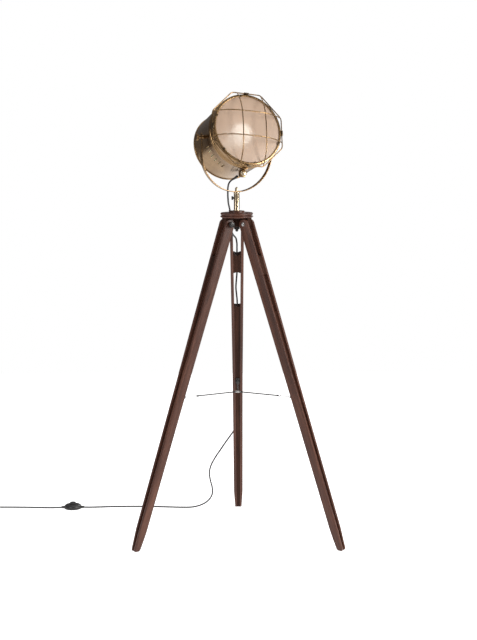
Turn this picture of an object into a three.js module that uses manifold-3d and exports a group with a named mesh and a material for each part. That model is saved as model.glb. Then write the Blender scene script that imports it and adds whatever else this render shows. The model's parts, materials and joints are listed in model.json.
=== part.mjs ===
// Tripod spotlight floor lamp: three folding wooden legs, a turned hub, a brass stem,
// a swivelling U yoke and a tilting drum head with a hinged, caged glass door.
// Millimetres, +Z up. The stem's axis is the working origin; the whole lamp is moved at
// the end so that the origin is on the floor, at the middle of the tripod's footprint.

import * as THREE from 'three';
import { mergeVertices } from 'three/addons/utils/BufferGeometryUtils.js';
import Module from 'manifold-3d';

// ---------------------------------------------------------------- driving dimensions

const clearance = 0.3;          // gap left between neighbours
const boltClearance = 0.4;      // radial clearance of a bolt in its hole

// tripod
const footRadius = 393;         // stem axis to the middle of a foot
const pivotRadius = 38;         // stem axis to a leg pivot
const pivotHeight = 1067;
const legAzimuths = [210, 330, 90];
const legTopWidth = 48;         // across both rails
const legKneeWidth = 36;
const legLowWidth = 32;
const legFootWidth = 23.5;
const legKneeAt = 549;          // distances down the leg from its pivot
const footTaper = 72;
const legTopDepth = 33;
const legLowDepth = 26.6;
const legFootDepth = 22;
const railThickness = 10;
const railFootThickness = 7;
const upperSlotEnd = 111;
const blockLength = 68;
const tongueStart = 305;
const tongueFootGap = 5;       // the tongue stops this far above the foot
const faceRecess = 1.2;         // the filler pieces stand back from the inner face
const grooveDepth = 7.2;        // cord groove along the outer face of the leg

// leg pivot bolts
const boltRadius = 3.9;
const boltWasherRadius = 6;
const boltEndRadius = 3.5;
const legKnobRadius = 9.8;
const legKnobLength = 13;

// hub
const capRadius = 54.5;
const capThickness = 16;
const hubBossRadius = 26.5;
const hubBossHeight = 6;
const blockHeight = 30;
const hubCoreRadius = 24;
const tongueSlack = 0.6;        // each side of a tongue, between its rails
const tongueReach = 11;         // past the pivot
const hubBoltRadius = 5;
const hubBoltDrop = 18;         // rounded end below the block
const hubNutRadius = 9;
const cordHoleRadius = 4;
const cordHoleOffset = 22;

// spreader
const spreaderHeight = 498;
const spreaderRingRadius = 9;
const spreaderWireRadius = 2;
const spreaderRodReach = 157;
const spreaderLinkRadius = 1.1;
const eyePlateWidth = 13;
const eyePlateHeight = 22;
const eyePlateThickness = 2.5;
const eyeRadius = 4.6;
const eyeWireRadius = 1.4;

// stem
const stemRadius = 9.5;
const stemBore = 6.5;
const stemLength = 61;
const spigotRadius = 6.1;
const spigotDepth = 47;
const spigotStudRadius = 3.8;
const acornRadius = 5.75;
const acornHeight = 14.6;
const thumbscrewDrop = 19;      // below the top of the stem
const thumbscrewRadius = 6.3;
const thumbscrewStickOut = 7.5;

// yoke
const yokeGap = 11;             // from the drum to the inside of the strap
const yokeArm = 55;             // straight part below the tilt pivot
const yokeHorn = 13.5;          // above the tilt pivot
const strapWidth = 15.5;
const strapThickness = 3;
const tiltStudRadius = 3.5;
const tiltKnobRadius = 11;
const tiltKnobLength = 8;
const tiltKnobStandOff = 9;
const tiltBushRadius = 6.5;

// head: stations run from the tilt axis towards the glass
const headPan = 25.5;           // degrees, towards the right of the front
const headTilt = 19.5;          // degrees, upwards
const drumDrop = 6;             // drum axis below the tilt axis
const drumMidRadius = 115.5;
const drumFrontFlare = 2.7;     // the drum widens towards the glass
const drumRearTaper = 4.3;      // and narrows towards the rear
const drumWall = 1.6;
const drumFront = 49;
const drumRear = 101;
const drumBead = 2.6;
const doorRear = 49.6;
const doorFront = 91;
const doorWall = 2.2;
const doorLip = 8.2;            // the rim's width in front of the glass
const glassThickness = 3.6;
const ventCount = 6;
const ventLength = 25;
const ventWidth = 4.4;
const ventSpacing = 8;          // degrees
const ventCentre = 35;          // degrees below the horizontal, on each side
const ventStation = 2;
const bulbRadius = 34;
const bulbStation = 40;
const bulbNeckRadius = 13.2;
const holderRadius = 19;
const holderFront = -22;
const holderRear = -80;

// cage on the door
const cageGap = 0.546;          // between the door's rim and the octagon's flats
const cageStation = 88.7;
const cageRoll = 7;             // degrees, clockwise from the front
const cageWireRadius = 1.9;
const cageBulge = 36;
const cageShiftLeft = 20;       // how far the left wire stands in from the octagon's corners
const cageShiftLow = 19;        // and the lower wire
const clipWidth = 17;
const clipLength = 9;

// door hinge and clasp
const hingeStandOff = 4.4;
const hingeBarrelRadius = 3.2;
const hingePinRadius = 1.5;
const hingeWidth = 26;
const claspScrewRadius = 2.5;
const claspHeadRadius = 10;
const claspHeadLength = 12;
const claspReach = 14.2;        // from the door to the screw's axis
const claspPlate = 4;
const claspPlateFront = 38;
const claspWidth = 18;
const claspSlack = 1.1;

// cord
const cordRadius = 2.75;
const coilMidRadius = 33.6;
const coilHalfWidth = 5.6;
const coilHeight = 11.4;
const switchRadius = 31.5;
const switchHeight = 18;
const switchButtonRadius = 11;
const switchButtonTop = 25;
const switchTravel = 3;
const plugLength = 36;
const plugWidth = 26;
const plugThickness = 13.6;
const plugNeck = 5;             // half width where the cord enters
const plugPinLength = 19;
const plugPinRadius = 2;
const plugPinSpacing = 19;

// ---------------------------------------------------------------- derived sizes

const lean = Math.atan2(footRadius - pivotRadius, pivotHeight);
const legLength = pivotHeight / Math.cos(lean);
const capBottom = pivotHeight + 21;
const capTop = capBottom + capThickness;
const blockBottom = capBottom - blockHeight;
const tongueWidth = legTopWidth - 2 * (railThickness + tongueSlack);
const stemBottom = capTop + hubBossHeight + clearance;
const stemTop = stemBottom + stemLength;
const strapBottom = stemTop + clearance;
const drumFrontRadius = drumMidRadius + drumFrontFlare;
const drumRearRadius = drumMidRadius - drumRearTaper;
const yokeRadius = drumMidRadius + yokeGap + strapThickness / 2;
const pivotZ = strapBottom + strapThickness / 2 + yokeRadius + yokeArm;
const lowStation = legLength - footTaper;
const tongueEnd = legLength - tongueFootGap;
const doorRadius = drumFrontRadius + drumBead;
const doorTop = doorRadius + 0.5;
const glassOpening = doorRadius - doorLip;
const cageFlat = doorRadius + cageGap + cageWireRadius;
const cageRadius = cageFlat / Math.cos(Math.PI / 8); // to the octagon's corners
const claspDrop = doorRadius + claspReach;
const hingeRadius = doorTop + hingeStandOff;

// ---------------------------------------------------------------- finishes

const finish = (color, roughness, metalness, extra = {}) =>
  new THREE.MeshStandardMaterial({ color, roughness, metalness, ...extra });

const walnut = finish(0x6b4636, 0.55, 0);
const darkWalnut = finish(0x4a2f24, 0.6, 0);
const antiqueBrass = finish(0x8f744a, 0.36, 1);
const paleBrass = finish(0xd6c8a8, 0.28, 1);
const steel = finish(0x8d8a86, 0.35, 1);
const blackMetal = finish(0x24211f, 0.45, 0.6);
const frostedGlass = finish(0xcdb29b, 0.6, 0);
const bulbGlass = finish(0xe8ebe6, 0.35, 0);
const ceramic = finish(0xe6e0d4, 0.4, 0);
const blackPlastic = finish(0x232120, 0.55, 0);

// ---------------------------------------------------------------- helpers

const wasm = await Module();
wasm.setup();

const radians = THREE.MathUtils.degToRad;
const lamp = new THREE.Group();

// a closed three.js geometry as a solid that can be cut and joined
function solid(geometry) {
  const plain = geometry.clone();
  plain.deleteAttribute('normal');
  plain.deleteAttribute('uv');
  const merged = mergeVertices(plain, 1e-4);
  return new wasm.Manifold(new wasm.Mesh({
    numProp: 3,
    vertProperties: new Float32Array(merged.attributes.position.array),
    triVerts: new Uint32Array(merged.index.array),
  }));
}

function geometryOf(body) {
  const mesh = body.getMesh();
  const geometry = new THREE.BufferGeometry();
  geometry.setAttribute('position', new THREE.BufferAttribute(mesh.vertProperties, 3));
  geometry.setIndex(new THREE.BufferAttribute(mesh.triVerts, 1));
  return geometry;
}

const joined = (...parts) => geometryOf(parts.map(solid).reduce((a, b) => a.add(b)));

const cut = (base, ...tools) =>
  geometryOf(tools.reduce((body, tool) => body.subtract(solid(tool)), solid(base)));

function place(group, name, geometry, material) {
  const mesh = new THREE.Mesh(geometry, material);
  mesh.name = name;
  group.add(mesh);
  return mesh;
}

function subgroup(parent) {
  const group = new THREE.Group();
  parent.add(group);
  return group;
}

// profile: [radius, height] pairs, outer side rising; spun about Y, then stood on `axis`
function turned(profile, segments = 20, axis = 'z') {
  const points = profile.map(([r, h]) => new THREE.Vector2(r, h));
  const geometry = new THREE.LatheGeometry(points, segments);
  if (axis === 'z') geometry.rotateX(Math.PI / 2);
  if (axis === 'x') geometry.rotateZ(-Math.PI / 2);
  return geometry;
}

// a plain round bar from `low` to `high` along an axis, about the point (a, b)
function bar(radius, low, high, axis = 'z', at = [0, 0, 0], segments = 16) {
  const profile = [[0, low], [radius, low], [radius, high], [0, high]];
  return turned(profile, segments, axis).translate(...at);
}

function box(x, y, z, at) {
  return new THREE.BoxGeometry(x, y, z).translate(...at);
}

// a bar whose rectangular section changes from station to station down a leg;
// each station is { s, front, back, low, high }, and `lift` puts it level, above the floor
function taperedBar(stations) {
  const last = stations.length - 1;
  const geometry = new THREE.BoxGeometry(1, 1, 1, 1, 1, last);
  const position = geometry.attributes.position;
  for (let i = 0; i < position.count; i++) {
    const station = stations[Math.round((0.5 - position.getZ(i)) * last)];
    const x = position.getX(i) > 0 ? station.front : station.back;
    const y = position.getY(i) > 0 ? station.high : station.low;
    const level = station.lift === undefined ? 0 : x * Math.tan(lean);
    const s = station.s + level;
    position.setXYZ(i, x, y, -s);
  }
  return geometry;
}

// a cord or wire through the given points
function tube(points, radius, sides, steps, tension = 0.5) {
  const nodes = points.map((p) => new THREE.Vector3(...p));
  const path = new THREE.CatmullRomCurve3(nodes, false, 'centripetal', tension);
  const section = new THREE.Shape();
  for (let k = 0; k < sides; k++) {
    const angle = (2 * Math.PI * (k + 0.5)) / sides;
    const x = radius * Math.cos(angle);
    const y = radius * Math.sin(angle);
    if (k === 0) section.moveTo(x, y);
    else section.lineTo(x, y);
  }
  return new THREE.ExtrudeGeometry(section, { steps, extrudePath: path, bevelEnabled: false });
}

// linear interpolation in a table of [position, value] rows
function along(table, s) {
  let k = 1;
  while (k < table.length - 1 && s > table[k][0]) k++;
  const [s0, v0] = table[k - 1];
  const [s1, v1] = table[k];
  return v0 + ((v1 - v0) * (s - s0)) / (s1 - s0);
}

// ---------------------------------------------------------------- legs

const widthTable = [
  [0, legTopWidth], [legKneeAt, legKneeWidth], [lowStation, legLowWidth], [legLength, legFootWidth],
];
const depthTable = [[0, legTopDepth], [lowStation, legLowDepth], [legLength, legFootDepth]];
const thicknessTable = [[0, railThickness], [lowStation, railThickness], [legLength, railFootThickness]];

const outerHalf = (s) => along(widthTable, Math.max(s, 0)) / 2;
const innerHalf = (s) => outerHalf(s) - along(thicknessTable, Math.max(s, 0));
const halfDepth = (s) => along(depthTable, Math.max(s, 0)) / 2;

function railStations(side) {
  const span = (s) => (side > 0 ? [innerHalf(s), outerHalf(s)] : [-outerHalf(s), -innerHalf(s)]);
  const stations = [];
  const topRadius = legTopDepth / 2;
  for (const angle of [80, 60, 40, 20]) {
    const s = -topRadius * Math.sin(radians(angle));
    const half = topRadius * Math.cos(radians(angle));
    stations.push({ s, half });
  }
  for (const s of [0, legKneeAt, lowStation]) stations.push({ s, half: halfDepth(s) });
  for (const [lift, rounding] of [[10, 0.4], [3, 1.8], [0, 5]]) {
    const s = legLength - lift / Math.cos(lean);
    stations.push({ s, half: halfDepth(s) - rounding, lift });
  }
  return stations.map(({ s, half, lift }) => {
    const [low, high] = span(s);
    return { s, front: half, back: -half, low, high, lift };
  });
}

function fillerStations(from, to, outerRecess) {
  const knots = [from, legKneeAt, lowStation, to].filter((s) => s >= from && s <= to);
  const unique = [...new Set(knots)].sort((a, b) => a - b);
  return unique.map((s) => ({
    s,
    front: halfDepth(s) - outerRecess,
    back: -halfDepth(s) + faceRecess,
    low: -innerHalf(s) + clearance,
    high: innerHalf(s) - clearance,
  }));
}

// the round end of a slot, as a cutter across the leg
const slotEnd = (s) => bar(innerHalf(s), -legTopDepth, legTopDepth, 'x', [0, 0, -s]);

function legKnob() {
  const inner = outerHalf(0) + clearance;
  const top = inner + legKnobLength;
  const hole = boltRadius + boltClearance;
  return turned([
    [hole, inner], [7, inner], [7, inner + 3.5], [legKnobRadius - 1, inner + 4],
    [legKnobRadius, inner + 5.5], [legKnobRadius, top - 2], [legKnobRadius - 1.6, top],
    [0, top + 0.8], [0, inner + 8], [hole, inner + 8],
    [hole, inner],
  ], 12, 'y');
}

function legBolt() {
  const face = -outerHalf(0) - clearance;
  return turned([
    [0, face - 6.4], [boltEndRadius - 1, face - 6.4], [boltEndRadius, face - 5.4],
    [boltEndRadius, face - 2.6], [boltWasherRadius, face - 2.2], [boltWasherRadius, face],
    [boltRadius, face], [boltRadius, outerHalf(0) + 7], [0, outerHalf(0) + 7],
  ], 10, 'y');
}

// local station of a height on the leg's inner face
const faceStation = (height) => {
  let s = (pivotHeight - height) / Math.cos(lean);
  for (let k = 0; k < 4; k++) s = (pivotHeight - height - halfDepth(s) * Math.sin(lean)) / Math.cos(lean);
  return s;
};
const eyeStation = faceStation(spreaderHeight);
const eyeFace = -halfDepth(eyeStation) + faceRecess;
const eyeTurn = eyeFace - clearance - eyePlateThickness - eyeRadius;

// distance from the stem's axis to a point (x, s) of a leg
const reach = (x, s) => pivotRadius + x * Math.cos(lean) + s * Math.sin(lean);
const eyeReach = reach(eyeTurn, eyeStation);

function screwEye() {
  const plateX = eyeFace - clearance - eyePlateThickness / 2;
  const plate = box(eyePlateThickness, eyePlateWidth, eyePlateHeight, [plateX, 0, -eyeStation]);
  const eye = new THREE.TorusGeometry(eyeRadius, eyeWireRadius, 6, 12);
  eye.rotateY(-lean).rotateX(Math.PI / 2).translate(eyeTurn, 0, -eyeStation);
  return joined(plate, eye);
}

legAzimuths.forEach((azimuth, index) => {
  const leg = subgroup(lamp);
  const n = index + 1;
  leg.position.set(
    pivotRadius * Math.cos(radians(azimuth)), pivotRadius * Math.sin(radians(azimuth)), pivotHeight,
  );
  leg.rotation.order = 'ZYX';
  leg.rotation.set(0, -lean, radians(azimuth));

  const bore = bar(boltRadius + boltClearance, -legTopWidth, legTopWidth, 'y');
  place(leg, `leg_${n}_rail_a`, cut(taperedBar(railStations(1)), bore), walnut);
  place(leg, `leg_${n}_rail_b`, cut(taperedBar(railStations(-1)), bore), walnut);

  const blockEnd = upperSlotEnd + blockLength;
  const block = taperedBar(fillerStations(upperSlotEnd, blockEnd, faceRecess));
  const blockCut = cut(block, slotEnd(upperSlotEnd - 9), slotEnd(blockEnd + 9));
  place(leg, `leg_${n}_block`, blockCut, darkWalnut);

  const tongue = taperedBar(fillerStations(tongueStart, tongueEnd, grooveDepth));
  place(leg, `leg_${n}_tongue`, cut(tongue, slotEnd(tongueStart - 9)), darkWalnut);

  place(leg, `leg_${n}_bolt`, legBolt(), steel);
  place(leg, `leg_${n}_knob`, legKnob(), blackMetal);
  place(leg, `leg_${n}_eye`, screwEye(), blackMetal);
});

// ---------------------------------------------------------------- hub

const cordHole = bar(cordHoleRadius, 0, 2 * capTop, 'z', [-cordHoleOffset, 0, 0], 16);

const hubCap = turned([
  [hubBoltRadius + boltClearance, capBottom], [capRadius - 2, capBottom],
  [capRadius, capBottom + 1.6], [capRadius + 0.5, capBottom + 3.6], [capRadius - 0.6, capBottom + 5.6],
  [capRadius - 3, capBottom + 6.6], [capRadius - 3.4, capBottom + 8.4], [capRadius - 1, capBottom + 10],
  [capRadius, capBottom + 12], [capRadius - 0.4, capTop - 1.6], [capRadius - 2, capTop],
  [hubBossRadius + 1, capTop], [hubBossRadius, capTop + 0.8],
  [hubBossRadius - 0.8, capTop + hubBossHeight], [hubBoltRadius + boltClearance, capTop + hubBossHeight],
  [hubBoltRadius + boltClearance, capBottom],
], 32);
place(lamp, 'hub_cap', cut(hubCap, cordHole), walnut);

function hubTongue(azimuth) {
  const tip = pivotRadius + tongueReach;
  const top = capBottom - clearance;
  const chamfer = 5;
  const outline = new THREE.Shape();
  outline.moveTo(0, blockBottom);
  outline.lineTo(tip - chamfer, blockBottom);
  outline.absarc(tip - chamfer, blockBottom + chamfer, chamfer, -Math.PI / 2, 0, false);
  outline.lineTo(tip, top);
  outline.lineTo(0, top);
  const body = new THREE.ExtrudeGeometry(outline, {
    depth: tongueWidth, bevelEnabled: false, curveSegments: 5,
  });
  body.rotateX(Math.PI / 2).translate(0, tongueWidth / 2, 0);
  const bore = bar(boltRadius + boltClearance, -30, 30, 'y', [pivotRadius, 0, pivotHeight]);
  return cut(body, bore).rotateZ(radians(azimuth));
}

const hubCore = turned([
  [0, blockBottom], [hubCoreRadius - 1.5, blockBottom], [hubCoreRadius, blockBottom + 1.5],
  [hubCoreRadius, capBottom - clearance], [0, capBottom - clearance],
], 28);
const hubBlock = joined(hubCore, ...legAzimuths.map(hubTongue));
const hubBore = bar(hubBoltRadius + boltClearance, 0, 2 * capTop);
place(lamp, 'hub_block', cut(hubBlock, hubBore, cordHole), walnut);

const hubBoltTop = stemBottom + 12;
const hubNutTop = blockBottom - clearance;
place(lamp, 'hub_bolt', turned([
  [0, blockBottom - hubBoltDrop], [2.6, blockBottom - hubBoltDrop + 0.4],
  [hubBoltRadius - 0.8, blockBottom - hubBoltDrop + 1.8], [hubBoltRadius, blockBottom - hubBoltDrop + 4],
  [hubBoltRadius, hubNutTop - 9.6], [hubNutRadius - 1.4, hubNutTop - 9.6],
  [hubNutRadius - 0.6, hubNutTop - 9], [hubNutRadius - 0.6, hubNutTop - 2],
  [hubNutRadius + 1.8, hubNutTop - 2], [hubNutRadius + 1.8, hubNutTop],
  [hubBoltRadius, hubNutTop], [hubBoltRadius, hubBoltTop], [0, hubBoltTop],
], 16), blackMetal);

// ---------------------------------------------------------------- spreader

const rodStart = spreaderRingRadius + spreaderWireRadius + clearance;
const spreaderRing = new THREE.TorusGeometry(spreaderRingRadius, spreaderWireRadius, 6, 16);
place(lamp, 'spreader_ring', spreaderRing.translate(0, 0, spreaderHeight), blackMetal);

legAzimuths.forEach((azimuth, index) => {
  const arm = subgroup(lamp);
  const n = index + 1;
  arm.rotation.z = radians(azimuth);
  arm.position.z = spreaderHeight;
  const rodLow = rodStart + 0.3;
  const rod = turned([
    [0, rodLow], [2.8, rodLow], [2.8, rodLow + 5], [spreaderWireRadius, rodLow + 6.5],
    [spreaderWireRadius, spreaderRodReach - 7], [2.8, spreaderRodReach - 5],
    [2.8, spreaderRodReach], [0, spreaderRodReach],
  ], 8, 'x');
  place(arm, `spreader_rod_${n}`, rod, blackMetal);
  const linkLow = spreaderRodReach + clearance;
  const linkHigh = eyeReach - eyeRadius - eyeWireRadius - clearance;
  const link = turned([
    [0, linkLow], [spreaderLinkRadius, linkLow], [spreaderLinkRadius, linkHigh], [0, linkHigh],
  ], 6, 'x');
  place(arm, `spreader_link_${n}`, link, steel);
});

// ---------------------------------------------------------------- stem

const thumbscrewZ = stemTop - thumbscrewDrop;
const stemTube = turned([
  [stemBore, stemBottom], [stemRadius + 1.2, stemBottom], [stemRadius + 1.2, stemBottom + 2.5],
  [stemRadius, stemBottom + 3.5], [stemRadius, stemTop - 3], [stemRadius + 0.6, stemTop - 2.4],
  [stemRadius + 0.6, stemTop], [stemBore, stemTop], [stemBore, stemBottom],
], 24);
const screwHole = bar(2.7, -20, -1, 'x', [0, 0, thumbscrewZ], 16);
place(lamp, 'stem_tube', cut(stemTube, screwHole), paleBrass);

const screwFace = -stemRadius - clearance;
place(lamp, 'stem_thumbscrew', turned([
  [0, screwFace - thumbscrewStickOut], [thumbscrewRadius - 1, screwFace - thumbscrewStickOut],
  [thumbscrewRadius, screwFace - thumbscrewStickOut + 1], [thumbscrewRadius, screwFace - 2.4],
  [3.6, screwFace - 2], [3.6, screwFace], [2.3, screwFace],
  [2.3, -spigotRadius - clearance - 0.1], [0, -spigotRadius - clearance - 0.1],
], 20, 'x').translate(0, 0, thumbscrewZ), blackMetal);

// ---------------------------------------------------------------- yoke, on the pan axis

const pan = subgroup(lamp);
pan.position.z = pivotZ;
pan.rotation.z = radians(headPan);

const strapLow = strapBottom - pivotZ;
const strapTop = strapLow + strapThickness;
const studTop = strapTop + 8;

place(pan, 'pan_spigot', turned([
  [0, strapLow - clearance - spigotDepth], [spigotRadius - 0.8, strapLow - clearance - spigotDepth],
  [spigotRadius, strapLow - clearance - spigotDepth + 1], [spigotRadius, strapLow - clearance],
  [spigotStudRadius, strapLow - clearance], [spigotStudRadius, studTop], [0, studTop],
], 16), steel);

const nutBore = spigotStudRadius + boltClearance;
place(pan, 'acorn_nut', turned([
  [nutBore, strapTop + clearance], [acornRadius, strapTop + clearance],
  [acornRadius, strapTop + 7], [acornRadius - 0.7, strapTop + 9.6],
  [acornRadius - 2.4, strapTop + 12.6], [1.4, strapTop + acornHeight - 0.4], [0, strapTop + acornHeight],
  [0, studTop + 1], [nutBore, studTop + 1], [nutBore, strapTop + clearance],
], 16), paleBrass);

function yokeStrap() {
  const outer = yokeRadius + strapThickness / 2;
  const inner = yokeRadius - strapThickness / 2;
  const hornRadius = strapWidth / 2;
  const hornZ = yokeHorn - hornRadius;
  const outline = new THREE.Shape();
  outline.moveTo(outer, hornZ);
  outline.lineTo(inner, hornZ);
  outline.lineTo(inner, -yokeArm);
  outline.absarc(0, -yokeArm, inner, 0, -Math.PI, true);
  outline.lineTo(-inner, hornZ);
  outline.lineTo(-outer, hornZ);
  outline.lineTo(-outer, -yokeArm);
  outline.absarc(0, -yokeArm, outer, -Math.PI, 0, false);
  outline.lineTo(outer, hornZ);
  const strap = new THREE.ExtrudeGeometry(outline, {
    depth: strapWidth, bevelEnabled: false, curveSegments: 16,
  });
  strap.rotateX(Math.PI / 2).translate(0, strapWidth / 2, 0);
  const horns = [-1, 1].map((side) => {
    const low = side > 0 ? inner : -outer;
    return bar(hornRadius, low, low + strapThickness, 'x', [0, 0, hornZ], 20);
  });
  const tiltHole = bar(tiltStudRadius + boltClearance, -2 * outer, 2 * outer, 'x');
  const studHole = bar(spigotStudRadius + boltClearance, strapLow - 10, strapTop + 10);
  return cut(joined(strap, ...horns), tiltHole, studHole);
}
place(pan, 'yoke', yokeStrap(), paleBrass);

const armFace = yokeRadius + strapThickness / 2 + clearance;
const bushFrom = drumMidRadius + 0.5;
const bushTo = yokeRadius - strapThickness / 2 - clearance;
const studFrom = bushFrom + 3;

function tiltKnob(side) {
  const disc = armFace + tiltKnobStandOff;
  const knob = turned([
    [0, studFrom + clearance], [tiltStudRadius, studFrom + clearance], [tiltStudRadius, armFace],
    [tiltStudRadius + 2, armFace], [tiltStudRadius + 2, armFace + 2.2],
    [tiltStudRadius + 0.6, armFace + 3], [tiltStudRadius + 0.6, disc],
    [tiltKnobRadius - 0.8, disc], [tiltKnobRadius, disc + 1],
    [tiltKnobRadius, disc + tiltKnobLength - 1], [tiltKnobRadius - 1, disc + tiltKnobLength],
    [0, disc + tiltKnobLength + 0.8],
  ], 16, 'x');
  return side > 0 ? knob : knob.rotateZ(Math.PI);
}
place(pan, 'tilt_knob_right', tiltKnob(1), antiqueBrass);
place(pan, 'tilt_knob_left', tiltKnob(-1), antiqueBrass);

// ---------------------------------------------------------------- head, on the tilt axis

const head = subgroup(pan);
head.rotation.x = -radians(headTilt);

// a blind bush between drum and strap, which the knob's stud screws into
function tiltBush(side) {
  const bore = tiltStudRadius + boltClearance;
  const bush = turned([
    [0, bushFrom], [tiltBushRadius, bushFrom], [tiltBushRadius, bushTo],
    [bore, bushTo], [bore, studFrom], [0, studFrom],
  ], 16, 'x');
  return side > 0 ? bush : bush.rotateZ(Math.PI);
}
place(head, 'tilt_bush_right', tiltBush(1), antiqueBrass);
place(head, 'tilt_bush_left', tiltBush(-1), antiqueBrass);

// everything below is on the drum's own axis: Y runs to the rear, so a station is -Y
const drumFrame = subgroup(head);
drumFrame.position.z = -drumDrop;

function drumShell() {
  const inner = (r) => r - drumWall;
  const beadFront = drumFrontRadius + drumBead;
  const beadRear = drumRearRadius + drumBead;
  return turned([
    [inner(drumFrontRadius), -drumFront], [beadFront, -drumFront], [beadFront, -drumFront + 4],
    [drumFrontRadius, -drumFront + 5.6], [drumMidRadius, 0], [drumRearRadius, drumRear - 7],
    [beadRear, drumRear - 5], [beadRear, drumRear - 1], [beadRear - 1, drumRear],
    [inner(drumRearRadius), drumRear], [inner(drumRearRadius), drumRear - 7],
    [inner(drumMidRadius), 0], [inner(drumFrontRadius), -drumFront + 5.6],
    [inner(drumFrontRadius), -drumFront],
  ], 40, 'y');
}

function ventCutter(side, index) {
  const turn = ventCentre + (index - (ventCount - 1) / 2) * ventSpacing;
  const slot = new THREE.BoxGeometry(24, ventLength, ventWidth);
  slot.translate(drumMidRadius * side, -ventStation, 0);
  return slot.rotateY(radians(turn) * side);
}
const ventCutters = [-1, 1].flatMap((side) =>
  Array.from({ length: ventCount }, (_, index) => ventCutter(side, index)));
place(drumFrame, 'drum', cut(drumShell(), ...ventCutters), antiqueBrass);

const rearFit = drumRearRadius - drumWall - clearance - 0.2;
place(drumFrame, 'rear_cap', turned([
  [0, drumRear - 3], [rearFit, drumRear - 3], [rearFit, drumRear - 0.4],
  [rearFit - 4, drumRear + 1.6], [rearFit - 14, drumRear + 2.4], [rearFit * 0.5, drumRear + 3.2],
  [0, drumRear + 3.6],
], 32, 'y'), antiqueBrass);

place(drumFrame, 'lamp_bracket', turned([
  [0, -holderRear + clearance], [11, -holderRear + clearance], [11, drumRear - 9],
  [28, drumRear - 8], [28, drumRear - 3 - clearance], [0, drumRear - 3 - clearance],
], 20, 'y'), steel);

const socketBore = bulbNeckRadius + clearance + 0.1;
const bulbBaseEnd = -holderFront + 26;
place(drumFrame, 'lamp_holder', turned([
  [socketBore, -holderFront], [holderRadius - 1, -holderFront], [holderRadius, -holderFront + 1.5],
  [holderRadius, -holderFront + 30], [holderRadius - 3, -holderFront + 34],
  [holderRadius - 3, -holderRear - 2], [holderRadius - 5, -holderRear], [0, -holderRear],
  [0, bulbBaseEnd + 1], [socketBore, bulbBaseEnd + 1], [socketBore, -holderFront],
], 20, 'y'), ceramic);

const globe = [];
for (const angle of [-90, -67, -44, -22, 0, 25, 50]) {
  const a = radians(angle);
  globe.push([bulbRadius * Math.cos(a), -bulbStation + bulbRadius * Math.sin(a)]);
}
globe[0][0] = 0;
place(drumFrame, 'bulb', turned([
  ...globe, [bulbNeckRadius + 0.2, -holderFront - 10], [bulbNeckRadius, -holderFront - 4],
  [bulbNeckRadius, bulbBaseEnd - 3], [5, bulbBaseEnd], [0, bulbBaseEnd],
], 20, 'y'), bulbGlass);

const glandStation = 6;
const glandRadius = 8;
const drumTaper = (drumFrontRadius - drumMidRadius) / (drumFront - 5.6);
const glandBase = -drumMidRadius - drumTaper * (glandStation + glandRadius) - clearance;
const glandNozzle = bar(4.6, 0, 12);
glandNozzle.applyQuaternion(new THREE.Quaternion().setFromUnitVectors(
  new THREE.Vector3(0, 0, 1), new THREE.Vector3(-0.56, 0.3, -0.77).normalize(),
));
const glandBoss = bar(glandRadius, glandBase - 6, glandBase);
glandNozzle.translate(0, 0, glandBase - 3);
place(drumFrame, 'cable_gland', joined(glandBoss, glandNozzle).translate(0, -glandStation, 0), blackMetal);

// ---------------------------------------------------------------- door: bezel, glass and cage

const barrelSpan = hingeWidth / 3;
const hingeY = -(drumFront + doorRear) / 2;
const pinHole = () => bar(hingePinRadius + boltClearance, -30, 30, 'x', [0, hingeY, hingeRadius], 12);

function doorShell() {
  const inside = doorRadius - doorWall;
  const ring = turned([
    [glassOpening, -doorFront + 0.4], [doorRadius - 2, -doorFront], [doorRadius, -doorFront + 2],
    [doorRadius, -doorFront + 6.5], [doorRadius - 1, -doorFront + 7.5],
    [doorRadius - 1, -doorRear - 5.5], [doorTop, -doorRear - 4.5], [doorTop, -doorRear],
    [inside, -doorRear], [inside, -doorFront + 2.6], [glassOpening, -doorFront + 2.6],
    [glassOpening, -doorFront + 0.4],
  ], 40, 'y');
  const leafLength = 8;
  const leafBase = doorRadius - 1.6;
  const leafWidth = barrelSpan - 2 * clearance;
  const leaf = box(leafWidth, leafLength, hingeRadius - leafBase, [
    0, hingeY - leafLength / 2 - 0.5, (hingeRadius + leafBase) / 2,
  ]);
  const barrel = bar(hingeBarrelRadius, -leafWidth / 2, leafWidth / 2, 'x', [0, hingeY, hingeRadius]);
  const strip = box(claspWidth, doorRear + 8 - claspPlateFront + claspPlate, 2.6, [
    0, -(doorRear + 8 + claspPlateFront - claspPlate) / 2, -doorTop - 2.2,
  ]);
  const stripJoin = box(claspWidth, 7.4, 6, [0, -doorRear - 4.3, -doorTop + 0.4]);
  const plateDepth = claspDrop + claspHeadRadius - doorTop;
  const plate = box(claspWidth, claspPlate, plateDepth, [
    0, -claspPlateFront + claspPlate / 2, -doorTop - 1.2 - plateDepth / 2,
  ]);
  const screwBore = bar(claspScrewRadius + boltClearance, -80, 0, 'y', [0, 0, -claspDrop], 16);
  const whole = joined(ring, leaf, barrel, strip, stripJoin, plate);
  return cut(whole, pinHole(), screwBore);
}
place(drumFrame, 'door_bezel', doorShell().rotateY(radians(cageRoll)), antiqueBrass);

place(drumFrame, 'door_glass', turned([
  [0, -doorFront + 2.6 + clearance], [doorRadius - doorWall - 0.5, -doorFront + 2.6 + clearance],
  [doorRadius - doorWall - 0.5, -doorFront + 2.6 + clearance + glassThickness],
  [0, -doorFront + 2.6 + clearance + glassThickness],
], 32, 'y'), frostedGlass);

const corner = (k) => {
  const a = radians(22.5 + 45 * k + cageRoll);
  return [cageRadius * Math.sin(a), -cageStation, cageRadius * Math.cos(a)];
};

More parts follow.
